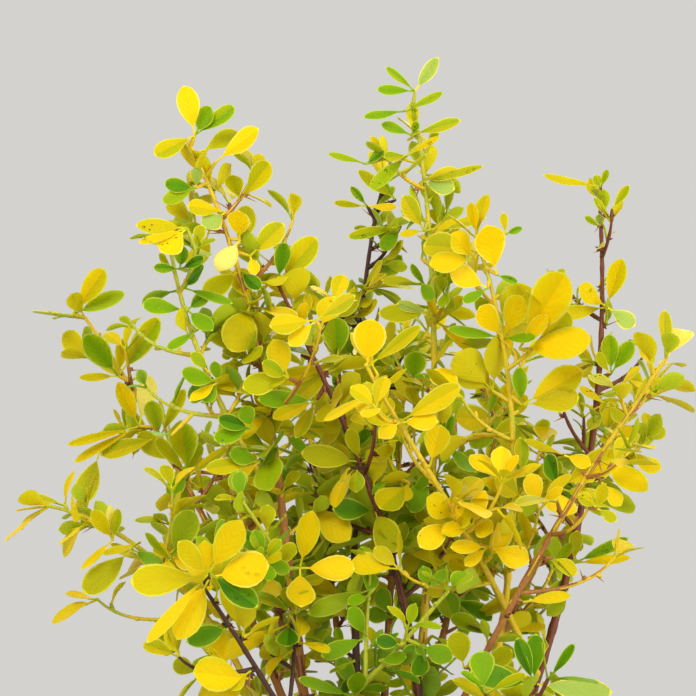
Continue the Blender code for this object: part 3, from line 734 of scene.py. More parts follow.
def seen_tuft(place, tips, wood, shown, chance):
    """Index of the wood that bears a tuft, where its shoot starts and ends, and its leaves. The
    missing length of a leaf is the third side of a right-angled triangle, towards the camera."""
    apart = np.hypot(*(shown[:, :2] - place).T)
    near = np.flatnonzero(apart < apart.min() + SHOOT_FROM)
    at = near[np.argmin(wood[near, 1])]
    foot = wood[at]
    root = from_picture(*place, foot[1] - SHOOT_SLOPE * apart[at] / PER_METRE)
    rows = []
    for column, row, width, tone in tips:
        depth = clear_depth(place, (column, row), width, root[1], wood, shown)
        flat = from_picture(column, row, depth) - root
        wide = width / in_picture(root[None])[0, 2]
        shown_long = np.linalg.norm(flat) * chance.uniform(*SEEN_LONGER)
        long = max(shown_long, wide / WIDEST_LEAF)
        slant = np.array([0, -1, 0]) * np.sqrt(long**2 - flat @ flat)
        along = unit(flat + slant)
        up = np.array([chance.uniform(-SEEN_ASIDE, SEEN_ASIDE), -1, SEEN_SKYWARD])
        up = unit(up - along * (up @ along))
        wedge = chance.uniform(*WEDGE_CHANCE)
        fold = chance.uniform(*SEEN_FOLD)
        curl = chance.uniform(*SEEN_CURL)
        # painted shade between the two halves, none for the most golden leaves
        half_shade = chance.uniform(*SHADED_HALF_CHANCE) * (tone < EVEN_TONE)
        shape = long, wide / long, wedge, fold, curl, tone, half_shade, chance.uniform(*WAVE_CHANCE)
        rows.append((*root, *along, *up, *shape))
    return at, foot, root, rows


def add_seen_tufts():
    """Adds the shoots of the tufts seen to their canes, and gives their leaves by cane."""
    chance = np.random.default_rng([SEED, 106])
    owners = [name for name in TABLE for _ in np.vstack([PATHS[name][0], *TWIGS[name]])]
    wood = np.vstack([part for name in TABLE for part in (PATHS[name][0], *TWIGS[name])])
    shown = in_picture(wood)
    found = {name: [] for name in TABLE}
    for place, tips in SEEN.items():
        at, foot, root, rows = seen_tuft(place, tips, wood, shown, chance)
        owner = owners[at]
        found[owner] += rows
        look = look_of(owner)
        out = unit(root - foot + np.array([0, -0.001, 0]))
        share = np.clip((foot[2] - SOIL_TOP) / BARK_REACH, 0, 1)
        bark = look.low_bark + (look.high_bark - look.low_bark) * share
        TUFTS[owner][1].append((*foot, *root, *out, bark))
    return found


FOUND = add_seen_tufts()
print(f"{sum(len(mass) for mass in FOUND.values())} leaves set by the picture")

# %% [markdown]
# Real leaves push each other aside. So a leaf that grew by rule is left out where its blade
# would lie in another's, where it would hide one of those set by the picture, or where it
# would close an opening of the bush. Each test is one comparison of distances.

# %% Room for each leaf
ROOM = 0.31  # least distance between two blades' middles, in the sum of their widths
HIDES = 0.72  # two blades closer than this in the picture, in the sum of their reaches, overlap
BEHIND = 0.003  # how far behind a blade that is seen the next one has to be
FREE_TIP = 0.004  # least distance from a tip's leaves to the foot of those that are seen
SAME_PLACE = 1e-6
SHORT_SPUR = SPUR_LENGTH[1] + 1e-4


def blades(leaves):
    """Middle and width of each blade, and its column, row, and reach in the picture."""
    middles = leaves[:, ROOT] + leaves[:, ALONG] * leaves[:, LONG, None] * BLADE_MIDDLE
    widths = leaves[:, LONG] * leaves[:, BROAD]
    shown = in_picture(middles)
    reach = np.sqrt(leaves[:, LONG] * widths) / 2 * shown[:, 2]
    return middles, widths, shown[:, :2], reach


def clear_in_picture(leaves, seen):
    """Which leaves hide none of those seen and close no opening."""
    middles, _, places, reach = blades(leaves)
    seen_middles, _, seen_places, seen_reach = blades(seen)
    apart = np.linalg.norm(places[:, None] - seen_places[None], axis=2)
    over = apart < HIDES * (reach[:, None] + seen_reach[None])
    hides = (over & (middles[:, None, 1] < seen_middles[None, :, 1] + BEHIND)).any(axis=1)
    apart = np.linalg.norm(places[:, None] - OPENINGS[None, :, :2], axis=2)
    return ~hides & (apart > OPENINGS[None, :, 2] + HIDES * reach[:, None]).all(axis=1)


def with_room(leaves, taken, widths):
    """Those of these leaves that keep their distance from the ones taken before them."""
    kept = []
    middles, broad = blades(leaves)[:2]
    for at, (middle, width) in enumerate(zip(middles, broad)):
        apart = np.linalg.norm(np.array(taken) - middle, axis=1)
        if (apart > ROOM * (np.array(widths) + width)).all():
            kept.append(at)
            taken.append(middle)
            widths.append(width)
    return leaves[kept]


def met(points, others):
    """Which of these points lie on one of the others."""
    apart = np.linalg.norm(points[:, None] - others[None], axis=2)
    return apart.min(axis=1, initial=1) < SAME_PLACE


def cut_through(spurs, seen):
    """Which spurs pass through a blade that is seen, other than one of their own."""
    middles, _, places, reach = blades(seen)
    feet, ends = spurs[:, FOOT], spurs[:, END]
    halfway = in_picture((feet + ends) / 2)[:, :2]
    apart = np.linalg.norm(halfway[:, None] - places[None], axis=2)
    nearer = np.minimum(feet, ends)[:, None, 1] - middles[None, :, 1]
    farther = np.maximum(feet, ends)[:, None, 1] - middles[None, :, 1]
    through = (nearer < BEHIND) & (farther > -BEHIND) & (apart < reach[None])
    return through.any(axis=1) & ~met(ends, seen[:, ROOT])


def has_use(spurs, leaves):
    """Which spurs are short, or still bear a leaf."""
    short = np.linalg.norm(spurs[:, END] - spurs[:, FOOT], axis=1) < SHORT_SPUR
    return short | met(spurs[:, END], leaves[:, ROOT])

# %% [markdown]
# The leaves set by the picture and the innermost ones at the tips come first and always stay.
# Then each cane in turn adds its leaves that still have room. A shoot that would pass through
# a blade that shows is cut off with its leaves, and one that has lost all of them goes too.

# %% Leaves that stay
seen = np.array([leaf for mass in FOUND.values() for leaf in mass])
buds = {}
for name in TABLE:
    tips = np.array(TUFTS[name][2])
    buds[name] = tips[least_distance(tips[:, ROOT], seen[:, ROOT]) > FREE_TIP]
taken, widths = [list(part) for part in blades(np.vstack([seen, *buds.values()]))[:2]]
LEAVES, spurs = {}, []
for name in TABLE:
    grown, wood = np.array(TUFTS[name][0]), np.array(TUFTS[name][1])
    gone = cut_through(wood, seen)
    feet, ends = wood[gone, FOOT], wood[gone, END]
    lost = np.vstack([ends, (feet + ends) / 2])
    grown = grown[~met(grown[:, ROOT], lost) & clear_in_picture(grown, seen)]
    LEAVES[name] = np.vstack([with_room(grown, taken, widths), buds[name], *FOUND[name]])
    wood = wood[~gone]
    spurs.append(wood[has_use(wood, LEAVES[name])])
SPURS = np.concatenate(spurs)
print(f"{sum(len(mass) for mass in LEAVES.values())} leaves and {len(SPURS)} spurs have room")

# %% [markdown]
# A mesh is four lists: points, the corners of each face, a material slot for each face, and a
# place on the pattern for each corner. foreach_set copies whole arrays into Blender, which is
# hundreds of times faster than adding faces one by one.

# %% Meshes from arrays
SHARP = np.radians(65)  # an edge that turns more than this keeps its crease


def grid_faces(rows, columns, closed=False):
    """Corners of the quads between neighbouring points of a grid, closed round if asked."""
    row = np.arange(rows - 1)[:, None] * columns
    column = np.arange(columns if closed else columns - 1)[None]
    after = (column + 1) % columns
    corners = row + column, row + after, row + columns + after, row + columns + column
    return np.stack(corners, axis=-1).reshape(-1, 4)


def fan_faces(pole, first, columns, forward=True):
    """Corners of the triangles from a pole to a closed ring of points."""
    at = first + np.arange(columns)
    after = first + (np.arange(columns) + 1) % columns
    ends = (at, after) if forward else (after, at)
    return np.stack([np.full(columns, pole), *ends], axis=-1)


def repeated(faces, copies, size):
    """The same faces for every copy of a shape that has this many points."""
    return (faces[None] + np.arange(copies)[:, None, None] * size).reshape(-1, faces.shape[1])


def put_mesh(name, points, faces, uv, materials, slots=None):
    """An object at the origin, from arrays. Faces and slots are lists, one array per face size,
    and without slots every face takes the first material."""
    corners = np.concatenate([face.ravel() for face in faces]).astype(np.int32)
    sizes = np.concatenate([np.full(len(face), face.shape[1]) for face in faces])
    slots = np.zeros(len(sizes)) if slots is None else np.concatenate(slots)
    mesh = bpy.data.meshes.new(name)
    mesh.vertices.add(len(points))
    mesh.vertices.foreach_set("co", points.astype(np.float32).ravel())
    mesh.loops.add(len(corners))
    mesh.loops.foreach_set("vertex_index", corners)
    mesh.polygons.add(len(sizes))
    mesh.polygons.foreach_set("loop_start", (np.cumsum(sizes) - sizes).astype(np.int32))
    mesh.polygons.foreach_set("material_index", slots.astype(np.int32))
    for finish in materials:
        mesh.materials.append(finish)
    mesh.update(calc_edges=True)
    layer = mesh.uv_layers.new(name="UV")
    layer.data.foreach_set("uv", uv[corners].astype(np.float32).ravel())
    mesh.shade_smooth()
    mesh.set_sharp_from_angle(angle=SHARP)
    made = bpy.data.objects.new(name, mesh)
    bpy.context.scene.collection.objects.link(made)
    print(f"{name}: {int((sizes - 2).sum())} triangles")
    return made


def stands_for(piece, slot, *nodes):
    """The piece rides on the plant and replaces these solids. Its slot is not used."""
    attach(piece, "root")
    if nodes:
        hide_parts(*nodes)
    return piece

# %% [markdown]
# Most of the wood, and all of the pot, is rings of points one after another: a tube along a
# path, a dome, a turned outline, a ball. The same few helpers make the ring, the quads between
# one ring and the next, and the fan of triangles that closes each end.

# %% Rings
def angles_round(sides):
    """The angles of a ring's points, as one row."""
    return np.arange(sides)[None] * 2 * np.pi / sides


def rings_about(side, rise, sides):
    """A ring of directions for each pair of unit vectors: side cos(a) + rise sin(a)."""
    angle = angles_round(sides)[..., None]
    return side[:, None] * np.cos(angle) + rise[:, None] * np.sin(angle)


def upright_rings(radius, angle, height):
    """Points at these radii and angles round the pot's axis, at these heights."""
    across = radius * np.cos(angle), radius * np.sin(angle)
    return np.stack(np.broadcast_arrays(*across, height), axis=-1)


def tube_faces(rows, sides):
    """Quads of a tube of rings, and the fans of its two ends, whose poles come after the rings."""
    size = rows * sides
    ends = fan_faces(size, 0, sides, forward=False), fan_faces(size + 1, size - sides, sides)
    return grid_faces(rows, sides, closed=True), np.concatenate(ends)


print(f"three rings of six have {sum(len(part) for part in tube_faces(3, 6))} faces, closed")

# %% [markdown]
# A finish is a small tree of nodes. In Blender each node is added, set and linked, so a few
# helpers do that in one call each, and a material then reads like a recipe.

# %% Material helpers
def linear(red, green, blue):
    """Scene-linear colour from the display values that a colour picker shows, 0 to 255."""
    shown = np.array([red, green, blue]) / 255
    return (*np.where(shown <= 0.04045, shown / 12.92, ((shown + 0.055) / 1.055) ** 2.4), 1)


def feed(tree, socket, value):
    """Gives a socket its value: a link where it comes from a node, or else a plain number."""
    if isinstance(value, bpy.types.NodeSocket):
        tree.links.new(value, socket)
    else:
        socket.default_value = value


def fill(tree, made, **values):
    """Gives a node's sockets, by name, these values or links."""
    for key, value in values.items():
        feed(tree, made.inputs[key.replace("_", " ")], value)


def node(tree, kind, settings=None, **values):
    """A node of this kind, with these settings and these socket values or links."""
    made = tree.nodes.new(kind)
    for key, value in (settings or {}).items():
        setattr(made, key, value)
    fill(tree, made, **values)
    return made


def new_material(name):
    """A node material, its tree, its Principled shader, and the places that a pattern reads."""
    made = bpy.data.materials.new(name)
    made.use_nodes = True
    tree = made.node_tree
    places = tree.nodes.new("ShaderNodeTexCoord").outputs
    return made, tree, tree.nodes["Principled BSDF"], places


print(f"half of full brightness on the screen is {linear(128, 128, 128)[0]:.2f} of its light")

# %% [markdown]
# The patterns of a finish are nodes too. Noise gives a value at each place, Map Range spreads
# it, Mix turns it into a colour, and Bump lets the light read it as a height.

# %% Pattern helpers
MIX_COLOURS = (6, 7)  # a Mix node's sockets for its two colours
MIX_RESULT = 2


def noise(tree, coordinates, scale, detail=4.0, roughness=0.55):
    """A noise texture's value, read at these coordinates."""
    grain = {"Scale": scale, "Detail": detail, "Roughness": roughness}
    return node(tree, "ShaderNodeTexNoise", Vector=coordinates, **grain).outputs["Fac"]


def math(tree, operation, *values):
    """One sum on one or two values, each a socket or a number."""
    made = node(tree, "ShaderNodeMath", {"operation": operation})
    for socket, value in zip(made.inputs, values):
        feed(tree, socket, value)
    return made.outputs[0]


def between(tree, value, low, high, start=0.0, end=1.0):
    """A value spread over a new range."""
    ends = {"From_Min": start, "From_Max": end, "To_Min": low, "To_Max": high}
    return node(tree, "ShaderNodeMapRange", Value=value, **ends).outputs["Result"]


def blend_colours(tree, factor, first, second):
    """A colour between two, by a value from 0 to 1."""
    made = node(tree, "ShaderNodeMix", {"data_type": "RGBA"}, Factor=factor)
    for number, value in zip(MIX_COLOURS, (first, second)):
        feed(tree, made.inputs[number], value)
    return made.outputs[MIX_RESULT]


def bump(tree, shader, height, strength, distance, before=None):
    """Bump from a height onto the shader, on top of another bump if given."""
    made = node(tree, "ShaderNodeBump", Height=height, Strength=strength, Distance=distance)
    if before is not None:
        fill(tree, made, Normal=before)
    fill(tree, shader, Normal=made.outputs["Normal"])
    return made.outputs["Normal"]

# %% [markdown]
# A leaf's colour comes from where it grows, so each leaf takes a few of some twenty plain tones,
# from the deep green of shaded wood to the pale gold of full sun. What nodes add is the finish:
# veins that lift the surface a little, a soft unevenness, and a sheen that changes over the
# leaf. A little subsurface lets the light from behind glow through.

# %% Leaf materials
# Display colours of the tones, deep green to pale gold, and last the pale green of new leaves
BLADE_TONES = (
    (58, 108, 0), (84, 134, 2), (116, 156, 4), (144, 164, 4), (170, 168, 2),
    (196, 178, 0), (220, 188, 0), (240, 198, 0), (252, 208, 8), (246, 226, 112), (160, 184, 80),
)
RIPEST = 9  # the last of the tones that follow one another
MARGIN_TONES = ((172, 196, 44), (218, 208, 40), (250, 224, 60))
STALK_TONES = ((140, 170, 30), (200, 196, 30), (246, 214, 40))
UNDER_TONES = ((124, 158, 34), (168, 184, 28), (210, 196, 22), (234, 206, 20))
# What the tones are for, and how strongly the veins show there
LEAF_PARTS = (
    ("tone", BLADE_TONES, 0.30), ("edge", MARGIN_TONES, 0.2),
    ("stalk", STALK_TONES, 0.1), ("underside", UNDER_TONES, 0.25),
)
VEINS = 7  # pairs of side veins along a leaf
VEIN_SLANT = 5.0  # how many of them a vein passes on its way to the edge
VEIN_HEIGHT = 0.0004


def leaf_material(name, colour, vein_strength):
    """A leaf surface of one plain colour. Its veins run out from the midrib and forward."""
    made, tree, shader, places = new_material(name)
    fill(tree, shader, Base_Color=linear(*colour), Specular_IOR_Level=0.10)
    fill(tree, shader, Subsurface_Weight=0.32, Subsurface_Radius=(1.0, 0.9, 0.2), Subsurface_Scale=0.0012)
    parts = node(tree, "ShaderNodeSeparateXYZ", Vector=places["UV"]).outputs
    aside = math(tree, "ABSOLUTE", math(tree, "SUBTRACT", parts["Y"], 0.5))
    count = math(tree, "MULTIPLY", parts["X"], VEINS)
    count = math(tree, "SUBTRACT", count, math(tree, "MULTIPLY", aside, VEIN_SLANT))
    count = math(tree, "ADD", count, noise(tree, places["UV"], 5.0, 2.0))
    ridge = math(tree, "POWER", math(tree, "PINGPONG", count, 0.5), 0.5)
    veined = bump(tree, shader, ridge, vein_strength, VEIN_HEIGHT)
    bump(tree, shader, noise(tree, places["Object"], 170.0, 1.0), 0.25, 0.0005, veined)
    sheen = noise(tree, places["Object"], 140.0, 3.0)
    fill(tree, shader, Roughness=between(tree, sheen, 0.38, 0.62, 0.3, 0.7))
    return made


LEAF_MATERIALS = [
    leaf_material(f"Leaf {part} {number}", tone, veins)
    for part, tones, veins in LEAF_PARTS
    for number, tone in enumerate(tones)
]
FIRST_MARGIN = len(BLADE_TONES)
FIRST_STALK = FIRST_MARGIN + len(MARGIN_TONES)
FIRST_UNDER = FIRST_STALK + len(STALK_TONES)
print(f"{len(LEAF_MATERIALS)} leaf materials")

# %% [markdown]
# A barberry leaf is spoon-shaped: a short stalk widens slowly into a blade that is broadest
# past its middle and ends in a round tip with a tiny point. One formula with two exponents
# gives that outline, and each leaf has its own numbers in it, so no two are the same.

# %% Leaf surface
STALK_HALF = 0.00042
STALK_SHARE = 0.19  # of the leaf's length
TIP_ROUND = (0.48, 0.20)  # exponent that rounds the tip, and how much more a pointed one has
EDGE_WAVE = 0.024
EDGE_TURNS = (8, 7)  # of that wave along the leaf, and from one leaf's start to another's


def leaf_points(leaves, u, v):
    """Points of each leaf at shares u from foot to tip and v from edge to edge. Along the blade,
    which runs t from 0 at the stalk's end to 1, the half width is W/2 (t/m)^a ((1-t)/(1-m))^b
    with m = a/(a+b), plus the stalk's own, which fades to the tip.
    The midrib is an arc of a circle that turns by the curl, and points rise from it by the
    fold times their distance and a wave that grows towards the edge."""
    long, broad, wedge, fold, curl, wave = (
        leaves[:, column, None] for column in (LONG, BROAD, WEDGE, FOLD, CURL, WAVE)
    )
    blunt = TIP_ROUND[0] + TIP_ROUND[1] * wave
    widest = wedge / (wedge + blunt)
    blade = np.clip((u - STALK_SHARE) / (1 - STALK_SHARE), 0, 1)
    shape = (blade / widest) ** wedge * ((1 - blade) / (1 - widest)) ** blunt
    half = long * broad / 2 * shape + STALK_HALF * (1 - u)
    turn = curl * u
    run = long * u * np.sinc(turn / np.pi)
    lift = long * u * np.sin(turn / 2) * np.sinc(turn / 2 / np.pi)
    edge = long * wave * EDGE_WAVE * np.sin(EDGE_TURNS[0] * u + EDGE_TURNS[1] * wave) * 4 * u * (1 - u)
    aside = half[..., None] * v
    rise = (half * fold + edge)[..., None] * np.abs(v)
    along, above = leaves[:, None, ALONG], leaves[:, None, ABOVE]
    across = np.cross(above, along)
    normal = above * np.cos(turn)[..., None] - along * np.sin(turn)[..., None]
    points = (leaves[:, None, ROOT] + along * run[..., None] + above * lift[..., None])[:, :, None]
    points = points + across[:, :, None] * aside[..., None] + normal[:, :, None] * rise[..., None]
    return points, normal


shares = np.linspace(0, 1, 51)
edges = leaf_points(LEAVES["tall_lime"][:1], shares[None], np.array([-1, 1]))[0][0]
across = np.linalg.norm(edges[:, 0] - edges[:, 1], axis=1)
print(f"one leaf is {across.max() / MM:.1f} mm broad at {shares[across.argmax()]:.0%} of its length")

# %% [markdown]
# A leaf could be one flat card with a picture on it, but that has no edge and no underside. So it is a
# thin closed mesh: five columns of points above, for its edges and its midrib, and a lighter underside
# that shares the rim. Its slots deal out the tones: stalk, margin, the two halves of the blade, which may
# differ by a tone of painted shade, and the underside.

# %% Leaf faces
LEAF_ROWS = np.array([0, 0.19, 0.28, 0.40, 0.53, 0.66, 0.79, 0.90, 0.972])
LEAF_COLUMNS = np.array([-1, -0.87, 0, 0.87, 1])


def leaf_faces():
    """Faces of one leaf: the top grid, the two strips below, the fans at the tip and the foot.
    The strips start at the corners that make their folds run the way of those above."""
    rows, columns = len(LEAF_ROWS), len(LEAF_COLUMNS)
    rim = np.arange(rows - 1) * columns
    spine = rows * columns + np.arange(rows - 1)
    far = columns - 1
    top = grid_faces(rows, columns)[:, ::-1]
    left = np.stack([spine, spine + 1, rim + columns, rim], axis=1)
    right = np.stack([rim + far, rim + columns + far, spine + 1, spine], axis=1)
    last, peak = (rows - 1) * columns, rows * (columns + 1)
    across = last + np.arange(far)
    tip = np.stack([np.full(far, peak), across + 1, across], axis=1)
    below = np.array([(last, spine[-1] + 1, peak), (spine[-1] + 1, last + far, peak)])
    foot = np.append(np.arange(columns), rows * columns)[None]
    return top, left, right, tip, below, foot


def leaf_slots(leaves):
    """Material slot of every face, in the order of leaf_faces, one row per leaf. The halves on either
    side of the midrib differ by up to one tone of painted shade, as if light fell unevenly on the two
    sides of the fold."""
    tone = leaves[:, TONE, None]
    # Painted shade: the two halves are set up to one tone apart, as if light fell unevenly on the fold.
    halves = np.clip(np.rint(tone + leaves[:, SHADED_HALF, None] * (0.5, -0.5)), 0, RIPEST)
    halves = np.where(tone > RIPEST, RIPEST + 1, halves)
    share = np.clip(tone / (RIPEST + 1), 0, 0.999)
    margin = FIRST_MARGIN + np.floor(share * len(MARGIN_TONES))
    stalk = FIRST_STALK + np.floor(share * len(STALK_TONES))
    under = FIRST_UNDER + np.floor(share * len(UNDER_TONES))
    row = np.concatenate([margin, halves, margin], axis=1)
    top = np.repeat(row[:, None], len(LEAF_ROWS) - 1, axis=1)
    top[:, 0] = stalk
    tip = np.repeat(margin, len(LEAF_COLUMNS) - 1, axis=1)
    strips = np.repeat(under, len(LEAF_ROWS) - 1, axis=1)
    return top.reshape(len(leaves), -1), strips, strips, tip, np.repeat(under, 2, axis=1), stalk


print(f"a leaf has {sum(len(part) for part in leaf_faces())} faces")

# %% [markdown]
# All the leaves of a few canes make one piece. The formula gives the tops of all of them at
# once, and the underside hangs below the midrib by the leaf's thickness, which grows into the
# round stalk. The canes are grouped by the colour that shows, so the record's slots hold.

# %% Leaf pieces
LEAF_THICK = 0.00028
STALK_THICK = 1.6  # in the stalk's half width
TIP_SHARE = 0.9995
POINT_LENGTH = 0.0004
# Canes whose leaves make one piece, and the record's slot of that piece
LEAF_GROUPS = {
    "west_foliage": ("golden_leaf", "west_low west_reach front_dark west_tall"),
    "middle_foliage": ("golden_leaf", "middle_bent tall_lime gold_twig"),
    "east_foliage": ("golden_leaf", "east_gold east_reach east_tall"),
    "green_foliage": ("lime_leaf", "west_green front_left front_green front_east back_dark"),
    "back_foliage": ("lime_leaf", "back_1 back_2 back_3 back_4 back_5"),
    "skirt_foliage": ("golden_leaf", "skirt_1 skirt_2 skirt_3 skirt_4 skirt_5"),
}


def leaf_piece(name, leaves):
    """All these leaves as one object."""
    count = len(leaves)
    midrib = np.zeros(1)
    top, normal = leaf_points(leaves, LEAF_ROWS[None], LEAF_COLUMNS)
    under = leaf_points(leaves, LEAF_ROWS[None], midrib)[0]
    thick = LEAF_THICK + STALK_HALF * STALK_THICK * (1 - LEAF_ROWS) ** 3
    under = under - normal[:, :, None] * thick[:, None, None]
    tip = leaf_points(leaves, np.array([[TIP_SHARE]]), midrib)[0]
    tip = tip + leaves[:, None, None, ALONG] * POINT_LENGTH
    points = np.concatenate([part.reshape(count, -1, 3) for part in (top, under, tip)], axis=1)
    size = points.shape[1]
    grid = np.stack(np.meshgrid(LEAF_ROWS, (LEAF_COLUMNS + 1) / 2, indexing="ij"), axis=-1)
    spine = np.stack([LEAF_ROWS, np.full(len(LEAF_ROWS), 0.5)], axis=1)
    uv = np.tile(np.concatenate([grid.reshape(-1, 2), spine, [(1, 0.5)]]), (count, 1))
    faces = [repeated(face, count, size) for face in leaf_faces()]
    slots = [slot.ravel() for slot in leaf_slots(leaves)]
    return put_mesh(name, points.reshape(-1, 3), faces, uv, LEAF_MATERIALS, slots)


for title, (slot, members) in LEAF_GROUPS.items():
    members = members.split()
    foliage = leaf_piece(title, np.concatenate([LEAVES[name] for name in members]))
    stands_for(foliage, slot, *(f"{name}_leaves" for name in members))

# %% [markdown]
# Barberry wood is dark red-brown when old. The young growth above it turns tan and then as golden or
# green as its leaves. Plain tones alone would look like painted wire, so each of the five barks has
# streaks drawn out along the wood, small pores and a dull sheen. The pale side of the streaks is partly
# the bark's own stripes and partly painted highlight, which stands in for the lines of light along the
# canes.

# %% Bark materials
# Each bark's dark and pale colour; the pale one is partly its own and partly painted highlight
BARKS = (
    ("Old dark bark", (52, 30, 20), (84, 48, 30)),
    ("Red-brown bark", (96, 46, 26), (138, 72, 38)),
    ("Tan young bark", (150, 92, 40), (186, 124, 52)),
    ("Golden shoot", (208, 172, 16), (236, 204, 24)),
    ("Lime shoot", (166, 174, 30), (200, 202, 44)),
)
LAST_BARK = len(BARKS) - 1


def bark_material(name, dark, light):
    """Bark with streaks along the wood, small pores and a dull sheen. The streaks are partly the bark's
    own stripes and partly painted highlight.
    """
    made, tree, shader, places = new_material(name)
    stretch = node(tree, "ShaderNodeMapping", Scale=(1.0, 1.0, 0.22), Vector=places["Object"])
    streaks_and_highlights = noise(tree, stretch.outputs["Vector"], 1500.0, 5.0, 0.65)
    pores = noise(tree, places["Object"], 2600.0, 2.0)
    # Pale streaks: partly bark stripes and partly painted highlight along the wood
    spread = between(tree, streaks_and_highlights, 0.0, 1.0, 0.30, 0.66)
    colour = blend_colours(tree, spread, linear(*dark), linear(*light))
    fill(tree, shader, Base_Color=colour, Roughness=between(tree, streaks_and_highlights, 0.45, 0.75))
    first = bump(tree, shader, streaks_and_highlights, 0.6, 0.0004)
    bump(tree, shader, pores, 0.3, 0.00015, first)
    return made


BARK_MATERIALS = [bark_material(*bark) for bark in BARKS]
print(f"{len(BARK_MATERIALS)} bark materials")

# %% [markdown]
# The canes are thin and ridged, each bud sits on a small knob, and the foot of a cane swells
# into the rootstock. A bevelled curve would be as smooth as wire, so each limb is a tube with
# a relief worked out along and around it, and its faces take their bark tone by how far up
# they are, with blotches where one tone meets the next.

# %% Limbs
LIMB_STEP = 0.0018
CANE_SIDES = 14
SHOOT_SIDES = 8
RIDGES = ((0.05, 5, 60), (0.04, 8, -95))  # height in radii, number round, turn in a metre
KNOB = 0.20
KNOB_SHARP = 14
BLOTCH = 0.45  # steps of tone
FOOT_FADE = 0.006  # height over which a swollen foot gets thin
BARK_PATTERN = 0.01  # length of wood that one unit of its UV map covers


def limb(path, radii, sides, tones, knots, chance, spread=0.0):
    """Points, faces, slots and pattern places of one limb. Its surface stands R(s) (1 + relief)
    from the path, where the relief is two sets of ridges h sin(n a + t s) that wind round it,
    a knob at every bud and a spread that fades from the foot."""
    fine = evenly(path, LIMB_STEP)
    count = len(fine)
    run = np.arange(count)[:, None] * LIMB_STEP
    angle = angles_round(sides)
    start = chance.uniform(0, 2 * np.pi, 3)
    ridges = [
        height * np.sin(number * angle + turn * run + begin)
        for (height, number, turn), begin in zip(RIDGES, start)
    ]
    knob = KNOB * np.abs(np.cos(np.pi * run / knots + start[2])) ** KNOB_SHARP
    thick = np.interp(np.linspace(0, 1, count), np.linspace(0, 1, len(radii)), radii)[:, None]
    radius = thick * (1 + sum(ridges) + knob + spread * np.exp(-run / FOOT_FADE))
    _, side, rise = axes_along(fine)
    walls = fine[:, None] + rings_about(side, rise, sides) * radius[..., None]
    points = np.concatenate([walls.reshape(-1, 3), fine[[0, -1]]])
    quads, caps = tube_faces(count, sides)
    share = np.linspace(0, 1, count - 1)[:, None]
    blotch = BLOTCH * np.sin(3 * angle + 210 * run[1:] + start[1])
    blotch = blotch * np.sin(2 * angle - 130 * run[1:] + start[2])
    slots = np.rint(np.clip(tones[0] + (tones[1] - tones[0]) * share + blotch, 0, LAST_BARK))
    uv = np.stack(np.broadcast_arrays(run / BARK_PATTERN, angle / (2 * np.pi)), axis=-1)
    uv = np.concatenate([uv.reshape(-1, 2), [(0, 0.5), (run[-1, 0] / BARK_PATTERN, 0.5)]])
    return points, quads, caps, slots.ravel(), np.repeat(slots[[0, -1], 0], sides), uv


def put_limbs(name, limbs):
    """Many limbs as one object."""
    points, quads, caps, of_quads, of_caps, uv = zip(*limbs)
    offsets = np.cumsum([0] + [len(part) for part in points[:-1]])
    faces = [
        np.concatenate([part + offset for part, offset in zip(parts, offsets)])
        for parts in (quads, caps)
    ]
    slots = [np.concatenate(parts) for parts in (of_quads, of_caps)]
    return put_mesh(name, np.concatenate(points), faces, np.concatenate(uv), BARK_MATERIALS, slots)

# %% [markdown]
# Every cane and every side twig now gets its limb. A cane that rises from the rootstock runs
# on into it and swells at its foot, while the others just start inside the wood that bears them.

# %% Bark of the canes
FOOT_SPREAD = 1.2  # of its radius
FOOT_SUNK = 0.005  # how far a cane's foot runs on into the rootstock

chance = np.random.default_rng([SEED, 101])
canes, shoots = [], []
for name in TABLE:
    points, radii = PATHS[name]
    look = look_of(name)
    rooted = TABLE[name].parent is None
    sunk = FOOT_SUNK if rooted else PATH_STEP / 2
    points = np.vstack([points[0] - unit(points[1] - points[0]) * sunk, points])
    radii = np.append(radii[0], radii)
    tones = look.low_bark, look.high_bark
    canes.append(limb(points, radii, CANE_SIDES, tones, look.step, chance, FOOT_SPREAD * rooted))
    for twig in TWIGS[name]:
        taper = np.linspace(TWIG_RADIUS, TWIG_TIP_RADIUS, len(twig))
        twig_tones = sum(tones) / 2, look.high_bark
        shoots.append(limb(twig, taper, SHOOT_SIDES, twig_tones, look.step, chance))
stands_for(put_limbs("cane_bark", canes), "bark", *(f"{name}_bough" for name in TABLE))
stands_for(put_limbs("side_twigs", shoots), "young_twig")

# %% [markdown]
# Each tuft sits on a short spur, old spurs are wrapped in dry bud scales, and under each tuft
# of an older cane stands one straight, sharp spine. All of them are many small cones, so one
# function makes each kind from arrays of the cones' two ends and their thicknesses.

# %% Spurs and spines
CONE_ROWS = np.array([0, 0.55, 1])  # shares of a cone's length where it has a ring
SPUR_RADII = (0.00075, 0.00085, 0.00050)  # at those rings
SPUR_SIDES = 6
SCALES = 7  # old bud scales round a spur of dark wood
SCALED_BARK = 1.9  # spurs of bark darker than this have them
SCALE_AT = 0.3  # of the spur's length
SCALE_SPREAD = 0.75
SCALE_LENGTH = (0.0008, 0.0026)
SCALE_RADIUS = (0.00030, 0.00055)
SCALE_TAPER = np.array([[1, 0.9, 0.15]])
SCALE_SIDES = 4
ARMED_BARK = 2.6  # spurs of bark darker than this have a spine
SPINE_LENGTH = (0.0035, 0.0080)
SPINE_RADII = (0.00034, 0.00022, 0.00003)
SPINE_SPREAD = 0.18
SPINE_SIDES = 5
SPINE_TONE = 2


